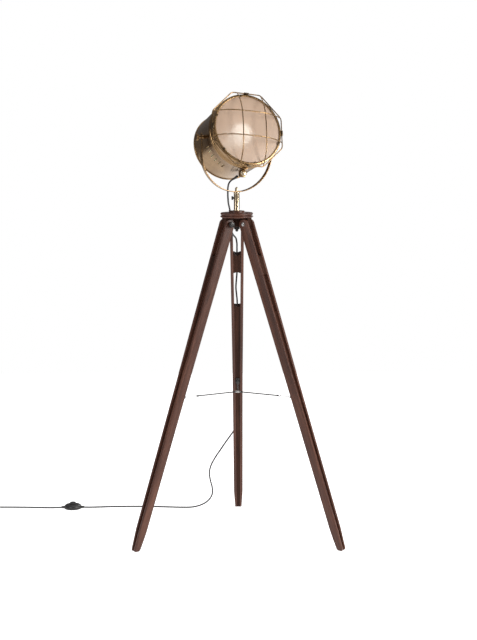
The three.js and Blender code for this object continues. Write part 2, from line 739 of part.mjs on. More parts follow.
// a point of the octagon's edge, some way from one corner towards the next
function edgePoint(from, towards, shift) {
  const a = new THREE.Vector3(...corner(from));
  const b = new THREE.Vector3(...corner(towards));
  return a.add(b.sub(a).setLength(shift));
}

function cageWire(a, b) {
  const points = [];
  const count = 7;
  for (let k = 0; k < count; k++) {
    const t = k / (count - 1);
    const p = a.clone().lerp(b, t);
    p.y -= cageBulge * (1 - Math.abs(2 * t - 1) ** 3);
    points.push(p.toArray());
  }
  return tube(points, cageWireRadius, 6, 8);
}

function cageClip(turn) {
  const low = doorRadius + clearance;
  const high = cageFlat + cageWireRadius + 1.4;
  const clip = box(clipWidth, clipLength, high - low, [0, -cageStation, (high + low) / 2]);
  return clip.rotateY(radians(turn + cageRoll));
}

const octagon = new THREE.TorusGeometry(cageRadius, cageWireRadius, 6, 8);
octagon.rotateX(Math.PI / 2).rotateY(radians(22.5 + cageRoll)).translate(0, -cageStation, 0);
place(drumFrame, 'cage', joined(
  octagon,
  cageWire(edgePoint(7, 0, cageShiftLeft), edgePoint(4, 3, cageShiftLeft)),
  cageWire(edgePoint(0, 7, 0.01), edgePoint(3, 4, 0.01)),
  cageWire(edgePoint(6, 5, 0.01), edgePoint(1, 2, 0.01)),
  cageWire(edgePoint(5, 6, cageShiftLow), edgePoint(2, 1, cageShiftLow)),
  ...[0, 90, 180, 270].map(cageClip),
), antiqueBrass);

// hinge half on the drum, with its pin
function drumHinge() {
  const base = drumFrontRadius + drumBead + clearance;
  const leaf = box(hingeWidth, 10, 2.4, [0, hingeY + 7.6, base + 1.4]);
  const knuckles = [-1, 1].map((side) => {
    const low = side > 0 ? barrelSpan / 2 : -hingeWidth / 2;
    const high = side > 0 ? hingeWidth / 2 : -barrelSpan / 2;
    const barrel = bar(hingeBarrelRadius, low, high, 'x', [0, hingeY, hingeRadius]);
    const web = box(high - low, 7, 2.4, [(low + high) / 2, hingeY + 3.4, hingeRadius - 1.6]);
    return [barrel, web];
  }).flat();
  const pin = bar(hingePinRadius, -hingeWidth / 2, hingeWidth / 2, 'x', [0, hingeY, hingeRadius], 12);
  return joined(leaf, ...knuckles, pin);
}
place(drumFrame, 'door_hinge', drumHinge().rotateY(radians(cageRoll)), antiqueBrass);

// clasp: a captive thumbscrew on the door goes into a bracket under the drum
const bracketFront = claspPlateFront - claspPlate - clearance;
const bracketLength = 13;
const bracketTop = -drumMidRadius - 3.2;
const bracketBottom = -claspDrop - 7.5;
const claspBracket = box(claspWidth - 2, bracketLength, bracketTop - bracketBottom, [
  0, -bracketFront + bracketLength / 2, (bracketTop + bracketBottom) / 2,
]);
const bracketBore = bar(claspScrewRadius + claspSlack, -80, 0, 'y', [0, 0, -claspDrop], 16);
place(drumFrame, 'clasp_bracket', cut(claspBracket, bracketBore).rotateY(radians(cageRoll)), antiqueBrass);

const headBack = -claspPlateFront - clearance;
place(drumFrame, 'clasp_screw', turned([
  [0, headBack - claspHeadLength - 0.8], [claspHeadRadius - 3, headBack - claspHeadLength],
  [claspHeadRadius - 0.6, headBack - claspHeadLength + 1], [claspHeadRadius, headBack - claspHeadLength + 2],
  [claspHeadRadius, headBack - 4], [claspHeadRadius - 2, headBack - 3], [claspHeadRadius - 3, headBack],
  [claspScrewRadius, headBack], [claspScrewRadius, -bracketFront + 10], [0, -bracketFront + 10],
], 16, 'y').translate(0, 0, -claspDrop).rotateY(radians(cageRoll)), paleBrass);

// ---------------------------------------------------------------- cord

// head to hub: out of the gland, behind the left side of the yoke, into the hub's hole
const headCord = [
  [2.2, -28.3, 1225.6], [-5.6, -20, 1219.4], [-15.5, -10.5, 1213], [-24.5, -2, 1203],
  [-28.6, 3.4, 1189], [-29.4, 5.6, 1172], [-29, 5.4, 1152], [-27.4, 4, 1133],
  [-24.4, 1.6, 1120], [-22.3, 0.2, 1109], [-22, 0, 1101], [-22, 0, 1096],
];
place(lamp, 'cord_head', tube(headCord, cordRadius, 8, 12), blackPlastic);

// a point of the rear leg, from its distance out, to the left and down the leg
const rearLeg = (x, left, s) => [
  -left, reach(x, s), pivotHeight + x * Math.sin(lean) - s * Math.cos(lean),
];

// hub to rear leg: through the upper slot, behind the block, into the lower slot,
// then down the groove of the outer face
const legCord = [
  [-22, 0, 1095.6], [-22, 0, 1080], [-22, 0, 1060], [-20.6, 1.8, 1046], [-12, 15, 1028],
  rearLeg(-8, 3, 54), rearLeg(3, 0, 78), rearLeg(14.5, 0, 98), rearLeg(20.4, 0, 120),
  rearLeg(20.6, 0, 145), rearLeg(20, 0, 170), rearLeg(13, 0.6, 192), rearLeg(3, 2.6, 214),
  rearLeg(0, 4.2, 240), rearLeg(3.5, 2.4, 266), rearLeg(10, 0.6, 290), rearLeg(13.6, 0, 312),
  rearLeg(13, 0, 380), rearLeg(12.4, 0, 480), rearLeg(11.8, 0, 580), rearLeg(11.2, 0, 680),
  rearLeg(10.6, 0, 770),
];
place(lamp, 'cord_leg', tube(legCord, cordRadius, 8, 46), blackPlastic);

// rear leg to foot switch: over the left rail, down to the floor and out to the left
const floorCord = [
  rearLeg(10.6, 0, 770.6), rearLeg(11.8, 0.6, 783), rearLeg(16, 3.6, 798), rearLeg(21, 12, 813),
  [-25, 317.5, 283], [-42, 325, 258], [-62, 333, 227], [-82, 340, 196], [-98, 345, 165],
  [-104.5, 348, 138], [-101.5, 350, 110], [-94.5, 352, 80], [-95.5, 354, 54], [-110, 357, 31],
  [-136, 361, 14], [-168, 366, 5], [-205, 371, 2.9], [-255, 377, 2.9], [-307, 383, 2.9],
  [-360, 387, 2.9], [-415, 388, 2.9], [-470, 385, 2.9], [-520, 379.5, 3.1], [-552, 375, 4],
  [-572, 373, 5],
];
place(lamp, 'cord_floor', tube(floorCord, cordRadius, 8, 46), blackPlastic);

const switchAt = [-604, 373];
const coilAt = [-912, 385 - coilMidRadius];
const floorTail = [
  [-636, 373, 5], [-656, 373.2, 4], [-688, 374.6, 2.9], [-730, 378, 2.9], [-775, 382, 2.9],
  [-820, 384.6, 2.9], [-860, 385.2, 2.9], [coilAt[0] + 25.4, 385, 2.9],
];
place(lamp, 'cord_tail', tube(floorTail, cordRadius, 8, 10), blackPlastic);

const coilInner = coilMidRadius - coilHalfWidth;
const coilOuter = coilMidRadius + coilHalfWidth;
place(lamp, 'cord_coil', turned([
  [coilInner + 1.5, 0.1], [coilOuter - 1.5, 0.1], [coilOuter, 1.6], [coilOuter, coilHeight - 1.5],
  [coilOuter - 1.5, coilHeight], [coilInner + 1.5, coilHeight], [coilInner, coilHeight - 1.5],
  [coilInner, 1.6], [coilInner + 1.5, 0.1],
], 28).translate(coilAt[0], coilAt[1], 0), blackPlastic);

const wellRadius = switchButtonRadius + clearance;
const buttonLow = switchButtonTop - 11.7;
place(lamp, 'switch_body', turned([
  [0, 0.1], [switchRadius - 1.5, 0.1], [switchRadius, 1.6], [switchRadius, 9],
  [switchRadius - 2, 13], [switchRadius - 6.5, 16.4], [switchRadius - 12, switchHeight],
  [wellRadius, switchHeight], [wellRadius, buttonLow - switchTravel - clearance],
  [0, buttonLow - switchTravel - clearance],
], 24).translate(...switchAt, 0), blackPlastic);

place(lamp, 'switch_button', turned([
  [0, buttonLow], [switchButtonRadius, buttonLow], [switchButtonRadius, switchButtonTop - 2.6],
  [switchButtonRadius - 2.4, switchButtonTop - 0.8], [0, switchButtonTop],
], 20).translate(...switchAt, 0), blackPlastic);

// a flat two-pin plug lying beside the coil, pins away from it
function plug() {
  const half = plugWidth / 2;
  const outline = new THREE.Shape();
  outline.moveTo(-plugNeck, 0);
  outline.lineTo(plugNeck, 0);
  outline.lineTo(half, -plugLength * 0.55);
  outline.lineTo(half, -plugLength);
  outline.lineTo(-half, -plugLength);
  outline.lineTo(-half, -plugLength * 0.55);
  outline.lineTo(-plugNeck, 0);
  const body = new THREE.ExtrudeGeometry(outline, { depth: plugThickness, bevelEnabled: false });
  const pins = [-1, 1].map((side) => bar(
    plugPinRadius, -plugLength - plugPinLength, -plugLength + 2, 'y',
    [(side * plugPinSpacing) / 2, 0, plugThickness / 2], 12,
  ));
  return joined(body, ...pins);
}
const plugDrop = Math.sqrt(coilOuter ** 2 - (coilMidRadius - plugNeck) ** 2) + 1;
const plugAt = [coilAt[0] - coilMidRadius, coilAt[1] - plugDrop, 0.1];
place(lamp, 'plug', plug().translate(...plugAt), blackPlastic);

// ---------------------------------------------------------------- stand it on its origin

const cordNames = new Set([
  'cord_head', 'cord_leg', 'cord_floor', 'cord_tail', 'cord_coil', 'switch_body', 'switch_button', 'plug',
]);
lamp.updateMatrixWorld(true);
const footprint = new THREE.Box3();
lamp.traverse((item) => {
  if (item.isMesh && !cordNames.has(item.name)) footprint.expandByObject(item, true);
});
const middle = footprint.getCenter(new THREE.Vector3());
lamp.position.set(-middle.x, -middle.y, 0);
lamp.updateMatrixWorld(true);

export default lamp;
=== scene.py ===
import json
import math

import bmesh
import bpy
from mathutils import Matrix, Vector


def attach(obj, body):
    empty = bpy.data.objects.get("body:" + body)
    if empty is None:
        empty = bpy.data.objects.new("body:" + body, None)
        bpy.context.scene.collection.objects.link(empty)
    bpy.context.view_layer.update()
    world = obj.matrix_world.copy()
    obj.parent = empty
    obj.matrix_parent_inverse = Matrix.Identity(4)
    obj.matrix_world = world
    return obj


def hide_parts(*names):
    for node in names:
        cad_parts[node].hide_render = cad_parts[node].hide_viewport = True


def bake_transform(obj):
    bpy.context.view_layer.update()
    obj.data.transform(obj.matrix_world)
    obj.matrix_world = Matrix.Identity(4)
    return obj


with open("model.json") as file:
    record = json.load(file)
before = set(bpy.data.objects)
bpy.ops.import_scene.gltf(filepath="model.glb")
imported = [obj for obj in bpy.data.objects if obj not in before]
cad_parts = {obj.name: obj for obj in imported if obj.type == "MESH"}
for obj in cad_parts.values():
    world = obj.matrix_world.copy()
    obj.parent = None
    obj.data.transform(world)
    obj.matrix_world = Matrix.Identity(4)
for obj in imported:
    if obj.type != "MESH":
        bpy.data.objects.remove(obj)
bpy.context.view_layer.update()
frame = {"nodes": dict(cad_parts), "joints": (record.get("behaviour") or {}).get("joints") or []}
print("frame loaded:", len(frame["nodes"]), "nodes")

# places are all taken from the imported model; local sizes are in millimetres
mm = 0.001
joints = {joint["name"]: joint for joint in frame["joints"]}
stemAxis = Vector(joints["head_pan"]["pos_m"])
stemPlace = Matrix.Translation((stemAxis.x, stemAxis.y, 0)) @ Matrix.Scale(mm, 4)

lamp = {
    "footRadius": 393, "pivotRadius": 38, "pivotHeight": 1067,
    "headPan": 25.5, "headTilt": 19.5, "drumDrop": 6, "doorRoll": 7,
}
lean = math.atan2(lamp["footRadius"] - lamp["pivotRadius"], lamp["pivotHeight"])
legLength = lamp["pivotHeight"] / math.cos(lean)
pivotZ = joints["head_tilt"]["pos_m"][2] / mm


def placeOf(origin, x, y, z):
    turn = Matrix((x, y, z)).transposed().to_4x4()
    return Matrix.Translation(origin) @ turn @ Matrix.Scale(mm, 4)


def legPlace(n):
    joint = joints[f"leg_{n}_fold"]
    along = Vector(joint["axis"]).normalized()
    outward = along.cross(Vector((0, 0, 1)))
    x = outward * math.cos(lean) + Vector((0, 0, math.sin(lean)))
    z = Vector((0, 0, math.cos(lean))) - outward * math.sin(lean)
    return placeOf(Vector(joint["pos_m"]), x, along, z)


pan, tilt = math.radians(lamp["headPan"]), math.radians(lamp["headTilt"])
headRight = Vector((math.cos(pan), math.sin(pan), 0))
headForward = Vector((
    math.sin(pan) * math.cos(tilt), -math.cos(pan) * math.cos(tilt), math.sin(tilt),
))
headUp = headRight.cross(-headForward)
tiltCentre = Vector(joints["head_tilt"]["pos_m"])
headPlace = placeOf(tiltCentre, headRight, -headForward, headUp)
drumPlace = headPlace @ Matrix.Translation((0, 0, -lamp["drumDrop"]))
# hinge, clasp and cage sit askew on the drum
doorPlace = drumPlace @ Matrix.Rotation(math.radians(lamp["doorRoll"]), 4, "Y")
yokeBack = Vector((-math.sin(pan), math.cos(pan), 0))
yokePlace = placeOf(tiltCentre, headRight, yokeBack, Vector((0, 0, 1)))


def rearLeg(x, left, s):  # a point of the rear leg, from its distance out, to the left and down it
    reach = lamp["pivotRadius"] + x * math.cos(lean) + s * math.sin(lean)
    return (-left, reach, lamp["pivotHeight"] + x * math.sin(lean) - s * math.cos(lean))


# camera, placed from the stem's axis
view = {"at": (0.004, -5.414, 1.483), "down": 7.79, "roll": -0.3, "lens": 91.4, "sensor": 36}
cameraData = bpy.data.cameras.new("camera")
cameraData.lens = view["lens"]
cameraData.sensor_width = view["sensor"]
camera = bpy.data.objects.new("camera", cameraData)
camera.location = Vector((stemAxis.x, stemAxis.y, 0)) + Vector(view["at"])
tipped = Matrix.Rotation(math.radians(90 - view["down"]), 3, "X")
camera.rotation_euler = (tipped @ Matrix.Rotation(math.radians(view["roll"]), 3, "Z")).to_euler()
bpy.context.scene.collection.objects.link(camera)
bpy.context.scene.camera = camera
bpy.context.scene.view_settings.view_transform = "Standard"


# shader helpers
def addNode(tree, kind, values=None, **settings):
    node = tree.nodes.new(kind)
    for key, value in settings.items():
        setattr(node, key, value)
    for key, value in (values or {}).items():
        if isinstance(value, bpy.types.NodeSocket):
            tree.links.new(value, node.inputs[key])
        else:
            node.inputs[key].default_value = value
    return node


def startMaterial(name):
    material = bpy.data.materials.new(name)
    material.use_nodes = True
    tree = material.node_tree
    tree.nodes.clear()
    shader = addNode(tree, "ShaderNodeBsdfPrincipled")
    out = addNode(tree, "ShaderNodeOutputMaterial")
    tree.links.new(shader.outputs[0], out.inputs["Surface"])
    return material, tree, shader


def colourRamp(tree, factor, stops):
    ramp = addNode(tree, "ShaderNodeValToRGB", {"Fac": factor})
    marks = ramp.color_ramp.elements
    while len(marks) < len(stops):
        marks.new(0.5)
    for mark, (at, colour) in zip(marks, stops):
        mark.position = at
        mark.color = (*colour, 1)
    return ramp.outputs["Color"]


def stretched(tree, vector, scale):
    return addNode(tree, "ShaderNodeMapping", {"Vector": vector, "Scale": scale}).outputs["Vector"]


def noiseOf(tree, vector, scale, detail=4, roughness=0.55, distortion=0.0):
    return addNode(tree, "ShaderNodeTexNoise", {
        "Vector": vector, "Scale": scale, "Detail": detail, "Roughness": roughness,
        "Distortion": distortion,
    }).outputs["Fac"]


def spreadTo(tree, factor, low, high):
    return addNode(tree, "ShaderNodeMapRange", {
        "Value": factor, "From Min": 0.3, "From Max": 0.7, "To Min": low, "To Max": high,
    }).outputs["Result"]


def mixed(tree, factor, first, second, blend="MIX"):
    node = addNode(tree, "ShaderNodeMix", data_type="RGBA", blend_type=blend)
    for socket, value in (("Factor_Float", factor), ("A_Color", first), ("B_Color", second)):
        target = next(s for s in node.inputs if s.identifier == socket)
        if isinstance(value, bpy.types.NodeSocket):
            tree.links.new(value, target)
        else:
            target.default_value = value if isinstance(value, float) else (*value, 1)
    return next(s for s in node.outputs if s.identifier == "Result_Color")


def bumpInto(tree, shader, height, strength, distance):
    bump = addNode(tree, "ShaderNodeBump", {"Height": height, "Strength": strength, "Distance": distance})
    tree.links.new(bump.outputs["Normal"], shader.inputs["Normal"])


def grainSpace(tree):
    return addNode(tree, "ShaderNodeAttribute", attribute_name="grainSpace").outputs["Vector"]


# finishes; the shared grain sizes come first
woodGrain = {
    "broad": 34, "broadStretch": 0.09, "bands": 190, "bandStretch": 0.045, "fibres": 900,
    "fibreStretch": 0.022, "pores": 1500, "poreStretch": 0.05, "bump": 0.18, "bumpDepth": 0.0003,
}
metalGrain = {"specks": 420, "lines": 700, "bumpDepth": 0.0002}
plasticGrain = {"cloud": 26, "grit": 1400, "bumpDepth": 0.0002}
glassGrain = {"frost": 1600, "bump": 0.12, "bumpDepth": 0.0002, "index": 1.45}


def woodFinish(name, look):
    material, tree, shader = startMaterial(name)
    space = grainSpace(tree)
    grain = {part: stretched(tree, space, (1, 1, woodGrain[part])) for part in (
        "broadStretch", "bandStretch", "fibreStretch", "poreStretch")}
    broad = noiseOf(tree, grain["broadStretch"], woodGrain["broad"], 5, 0.6, 0.7)
    bands = noiseOf(tree, grain["bandStretch"], woodGrain["bands"], 4, 0.62, 0.3)
    fibres = noiseOf(tree, grain["fibreStretch"], woodGrain["fibres"], 3, 0.6)
    pores = noiseOf(tree, grain["poreStretch"], woodGrain["pores"], 2, 0.5)
    tone = colourRamp(tree, broad, [(0.28, look["dark"]), (0.5, look["middle"]), (0.74, look["light"])])
    streak = colourRamp(tree, bands, [(0.36, look["streak"]), (0.62, (1, 1, 1))])
    tone = mixed(tree, 0.75, tone, streak, "MULTIPLY")
    fibre = colourRamp(tree, fibres, [(0.35, (0.72, 0.68, 0.66)), (0.6, (1.0, 1.0, 1.0))])
    tone = mixed(tree, 0.6, tone, fibre, "MULTIPLY")
    pore = colourRamp(tree, pores, [(0.3, (0.35, 0.3, 0.28)), (0.38, (1, 1, 1))])
    tree.links.new(mixed(tree, 0.7, tone, pore, "MULTIPLY"), shader.inputs["Base Color"])
    tree.links.new(spreadTo(tree, bands, *look["roughness"]), shader.inputs["Roughness"])
    shader.inputs["Specular IOR Level"].default_value = look["sheen"]
    relief = mixed(tree, 0.5, fibres, pores)
    bumpInto(tree, shader, relief, woodGrain["bump"], woodGrain["bumpDepth"])
    return material


def metalFinish(name, look):
    material, tree, shader = startMaterial(name)
    space = addNode(tree, "ShaderNodeTexCoord").outputs["Object"]
    cloud = noiseOf(tree, space, look["patch"], 5, 0.6, 0.4)
    speck = noiseOf(tree, space, metalGrain["specks"], 3, 0.6)
    brushed = noiseOf(tree, stretched(tree, grainSpace(tree), look["brush"]), metalGrain["lines"], 3, 0.6)
    tone = colourRamp(tree, cloud, [(0.32, look["dark"]), (0.52, look["middle"]), (0.72, look["light"])])
    marks = colourRamp(tree, brushed, [(0.34, look["line"]), (0.6, (1, 1, 1))])
    tone = mixed(tree, 0.55, tone, marks, "MULTIPLY")
    spots = colourRamp(tree, speck, [(0.3, look["line"]), (0.42, (1, 1, 1))])
    tree.links.new(mixed(tree, 0.5, tone, spots, "MULTIPLY"), shader.inputs["Base Color"])
    shader.inputs["Metallic"].default_value = look["metal"]
    blurred = mixed(tree, 0.45, cloud, brushed)
    tree.links.new(spreadTo(tree, blurred, *look["roughness"]), shader.inputs["Roughness"])
    bumpInto(tree, shader, mixed(tree, 0.4, brushed, speck), look["bump"], metalGrain["bumpDepth"])
    return material


def plasticFinish(name, look):
    material, tree, shader = startMaterial(name)
    space = addNode(tree, "ShaderNodeTexCoord").outputs["Object"]
    cloud = noiseOf(tree, space, plasticGrain["cloud"], 4, 0.6)
    grit = noiseOf(tree, space, plasticGrain["grit"], 2, 0.5)
    tone = colourRamp(tree, cloud, [(0.35, look["dark"]), (0.65, look["light"])])
    tree.links.new(tone, shader.inputs["Base Color"])
    tree.links.new(spreadTo(tree, cloud, *look["roughness"]), shader.inputs["Roughness"])
    bumpInto(tree, shader, grit, look["bump"], plasticGrain["bumpDepth"])
    return material


def glassFinish(name, look):
    material, tree, shader = startMaterial(name)
    space = addNode(tree, "ShaderNodeTexCoord").outputs["Object"]
    cloud = noiseOf(tree, space, look["patch"], 4, 0.6)
    frost = noiseOf(tree, space, glassGrain["frost"], 2, 0.6)
    tone = colourRamp(tree, cloud, [(0.35, look["dark"]), (0.65, look["light"])])
    tree.links.new(tone, shader.inputs["Base Color"])
    tree.links.new(spreadTo(tree, frost, *look["roughness"]), shader.inputs["Roughness"])
    shader.inputs["Transmission Weight"].default_value = look["clear"]
    shader.inputs["IOR"].default_value = glassGrain["index"]
    # emission: on the bulb glass it is the bulb's own light; on the frosted pane it is a faint painted glow
    # standing in for light passing through
    shader.inputs["Emission Color"].default_value = (*look["lampAndPaintedGlow"], 1)
    shader.inputs["Emission Strength"].default_value = look["strength"]
    bumpInto(tree, shader, frost, glassGrain["bump"], glassGrain["bumpDepth"])
    return material


finishes = {
    "walnut": woodFinish("walnut", {
        "dark": (0.05, 0.0165, 0.0095), "middle": (0.092, 0.033, 0.019), "light": (0.16, 0.064, 0.038),
        "streak": (0.5, 0.42, 0.38), "roughness": (0.36, 0.48), "sheen": 0.32,
    }),
    # the same walnut made darker: painted shade for the recessed blocks, the tongues in their grooves and the
    # hub block under the cap
    "walnutPaintedShade": woodFinish("walnutPaintedShade", {
        "dark": (0.022, 0.0085, 0.005), "middle": (0.04, 0.0155, 0.009), "light": (0.068, 0.028, 0.016),
        "streak": (0.5, 0.42, 0.38), "roughness": (0.5, 0.62), "sheen": 0.1,
    }),
    "antiqueBrass": metalFinish("antiqueBrass", {
        "dark": (0.17, 0.1, 0.044), "middle": (0.26, 0.163, 0.078), "light": (0.35, 0.238, 0.128),
        "line": (0.78, 0.74, 0.68), "roughness": (0.2, 0.3), "patch": 9, "brush": (0.5, 0.02, 0.5),
        "metal": 1.0, "bump": 0.08,
    }),
    "darkBrass": metalFinish("darkBrass", {
        "dark": (0.045, 0.03, 0.016), "middle": (0.075, 0.052, 0.03), "light": (0.12, 0.088, 0.052),
        "line": (0.75, 0.7, 0.65), "roughness": (0.28, 0.42), "patch": 24, "brush": (0.5, 0.02, 0.5),
        "metal": 1.0, "bump": 0.08,
    }),
    "paleBrass": metalFinish("paleBrass", {
        "dark": (0.5, 0.4, 0.26), "middle": (0.62, 0.52, 0.37), "light": (0.72, 0.63, 0.48),
        "line": (0.78, 0.74, 0.68), "roughness": (0.16, 0.28), "patch": 22, "brush": (0.5, 0.5, 0.02),
        "metal": 1.0, "bump": 0.06,
    }),
    "steel": metalFinish("steel", {
        "dark": (0.34, 0.33, 0.32), "middle": (0.46, 0.45, 0.44), "light": (0.58, 0.57, 0.55),
        "line": (0.7, 0.7, 0.7), "roughness": (0.24, 0.38), "patch": 30, "brush": (0.5, 0.5, 0.02),
        "metal": 1.0, "bump": 0.08,
    }),
    "blackMetal": metalFinish("blackMetal", {
        "dark": (0.012, 0.011, 0.01), "middle": (0.022, 0.02, 0.019), "light": (0.038, 0.034, 0.031),
        "line": (0.7, 0.7, 0.7), "roughness": (0.34, 0.48), "patch": 40, "brush": (0.5, 0.5, 0.05),
        "metal": 0.35, "bump": 0.12,
    }),
    # the frosted pane's faint emission is a painted glow; the pane is no lamp
    "frostedGlass": glassFinish("frostedGlass", {
        "dark": (0.52, 0.37, 0.26), "light": (0.6, 0.44, 0.32), "patch": 9, "roughness": (0.42, 0.5),
        "clear": 0.5, "lampAndPaintedGlow": (0.8, 0.62, 0.5), "strength": 0.1,
    }),
    "bulbGlass": glassFinish("bulbGlass", {
        "dark": (0.82, 0.84, 0.83), "light": (0.92, 0.93, 0.91), "patch": 20, "roughness": (0.3, 0.4),
        "clear": 0.1, "lampAndPaintedGlow": (0.48, 0.72, 1.0), "strength": 4.6,
    }),
    "ceramic": plasticFinish("ceramic", {
        "dark": (0.68, 0.65, 0.6), "light": (0.78, 0.76, 0.7), "roughness": (0.2, 0.35), "bump": 0.03,
    }),
    "blackPlastic": plasticFinish("blackPlastic", {
        "dark": (0.012, 0.011, 0.011), "light": (0.026, 0.024, 0.023), "roughness": (0.32, 0.46), "bump": 0.1,
    }),
}
print("finishes made:", len(finishes))


# shapes: each is (points, faces), in local millimetres
def combined(*shapes):
    points, faces = [], []
    for shapePoints, shapeFaces in shapes:
        base = len(points)
        points += [Vector(p) for p in shapePoints]
        faces += [[base + i for i in face] for face in shapeFaces]
    return points, faces


def moved(shape, matrix):
    return [matrix @ Vector(p) for p in shape[0]], shape[1]


def shifted(shape, offset):
    return moved(shape, Matrix.Translation(offset))


def filleted(profile, radius, steps=3, closed=False):  # rounds the corners of a profile
    count, made = len(profile), []
    for k, point in enumerate(profile):
        here = Vector(point)
        if not closed and k in (0, count - 1):
            made.append(tuple(here))
            continue
        before, after = Vector(profile[k - 1]), Vector(profile[(k + 1) % count])
        back, ahead = before - here, after - here
        if back.length < 1e-6 or ahead.length < 1e-6:
            made.append(tuple(here))
            continue
        start = here + back.normalized() * min(radius, back.length * 0.45)
        end = here + ahead.normalized() * min(radius, ahead.length * 0.45)
        for step in range(steps + 1):
            t = step / steps
            made.append(tuple(start * (1 - t) ** 2 + here * 2 * t * (1 - t) + end * t ** 2))
    return made


def lathe(profile, segments=64, axis="z", closed=False, shaped=None):
    points, faces, rings = [], [], []
    for radius, height in profile:
        count = 1 if radius < 1e-6 else segments
        ring = []
        for k in range(count):
            angle = 2 * math.pi * k / segments
            r = shaped(angle, radius, height) if shaped and count > 1 else radius
            c, s = r * math.cos(angle), r * math.sin(angle)
            points.append({"z": (c, s, height), "y": (s, height, c), "x": (height, c, s)}[axis])
            ring.append(len(points) - 1)
        rings.append(ring)
    pairs = list(zip(rings, rings[1:])) + ([(rings[-1], rings[0])] if closed else [])
    for low, high in pairs:
        for k in range(segments):
            a, b = low[k % len(low)], low[(k + 1) % len(low)]
            c, d = high[(k + 1) % len(high)], high[k % len(high)]
            face = [a] + [i for i in (b, c, d) if i != a]
            face = [i for n, i in enumerate(face) if i not in face[:n]]
            if len(face) > 2:
                faces.append(face)
    return points, faces


def loft(sections, capped=True):
    points, faces = [], []
    for section in sections:
        points += section
    n = len(sections[0])
    for row in range(len(sections) - 1):
        for k in range(n):
            a, b = row * n + k, row * n + (k + 1) % n
            faces.append([a, b, b + n, a + n])
    if capped:
        faces.append(list(range(n))[::-1])
        faces.append([len(points) - n + k for k in range(n)])
    return points, faces


def roundedRectangle(x0, x1, y0, y1, radius, steps=3):
    radius = min(radius, 0.48 * abs(x1 - x0), 0.48 * abs(y1 - y0))
    corners = [(x1 - radius, y1 - radius, 0), (x0 + radius, y1 - radius, 90),
               (x0 + radius, y0 + radius, 180), (x1 - radius, y0 + radius, 270)]
    made = []
    for x, y, start in corners:
        for k in range(steps + 1):
            angle = math.radians(start + 90 * k / steps)
            made.append((x + radius * math.cos(angle), y + radius * math.sin(angle)))
    return made


def roundedBox(size, at=(0, 0, 0), radius=0.6, steps=3):
    x, y, z = (value / 2 for value in size)
    radius = min(radius, 0.45 * min(size))
    rows = [(-z + radius * (1 - math.cos(math.radians(90 * k / steps))),
             radius * (1 - math.sin(math.radians(90 * k / steps)))) for k in range(steps + 1)]
    rows += [(-height, inset) for height, inset in rows[::-1]]
    sections = []
    for height, inset in rows:
        left = max(radius - inset, 0.05)
        outline = roundedRectangle(-x + inset, x - inset, -y + inset, y - inset, left, steps)
        sections.append([(px + at[0], py + at[1], height + at[2]) for px, py in outline])
    return loft(sections)


def smoothPath(points, perSpan=6):  # centripetal spline through the points
    nodes = [Vector(p) for p in points]
    nodes = [2 * nodes[0] - nodes[1]] + nodes + [2 * nodes[-1] - nodes[-2]]
    made = []
    for k in range(1, len(nodes) - 2):
        p0, p1, p2, p3 = nodes[k - 1:k + 3]
        t0 = 0.0
        t1 = t0 + max((p1 - p0).length, 1e-6) ** 0.5
        t2 = t1 + max((p2 - p1).length, 1e-6) ** 0.5
        t3 = t2 + max((p3 - p2).length, 1e-6) ** 0.5
        for step in range(perSpan):
            t = t1 + (t2 - t1) * step / perSpan
            a1 = (p0 * (t1 - t) + p1 * (t - t0)) / (t1 - t0)
            a2 = (p1 * (t2 - t) + p2 * (t - t1)) / (t2 - t1)
            a3 = (p2 * (t3 - t) + p3 * (t - t2)) / (t3 - t2)
            b1 = (a1 * (t2 - t) + a2 * (t - t0)) / (t2 - t0)
            b2 = (a2 * (t3 - t) + a3 * (t - t1)) / (t3 - t1)
            made.append((b1 * (t2 - t) + b2 * (t - t1)) / (t2 - t1))
    made.append(nodes[-2])
    return made


def sweep(path, outline, closed=False, side=None, sizes=None):  # outline: (across, up) pairs
    path = [Vector(p) for p in path]
    count = len(path)
    tangents = []
    for k in range(count):
        before = path[k - 1] if closed or k else path[k]
        after = path[(k + 1) % count] if closed or k < count - 1 else path[k]
        tangents.append((after - before).normalized())
    across = Vector(side) if side else tangents[0].orthogonal().normalized()
    sections = []
    for k in range(count):
        if k:
            across = tangents[k - 1].rotation_difference(tangents[k]) @ across
        across = (across - tangents[k] * across.dot(tangents[k])).normalized()
        up = tangents[k].cross(across)
        size = sizes[k] if sizes else 1
        sections.append([path[k] + (across * a + up * b) * size for a, b in outline])
    if closed:
        sections.append(sections[0])
    return loft(sections, capped=not closed)


def circle(radius, sides=16):
    return [(radius * math.cos(2 * math.pi * k / sides), radius * math.sin(2 * math.pi * k / sides))
            for k in range(sides)]


def knurled(count, depth, low, high):  # cuts a straight knurl between two heights of a lathe
    def shaped(angle, radius, height):
        if low <= height <= high:
            return radius - depth * (0.5 + 0.5 * math.cos(count * angle)) ** 2
        return radius
    return shaped


def hexagonal(low, high, radius):
    def shaped(angle, r, height):
        if low <= height <= high:
            flat = radius * math.cos(math.pi / 6) / math.cos((angle % (math.pi / 3)) - math.pi / 6)
            return min(r, flat) if r > flat else r
        return r
    return shaped


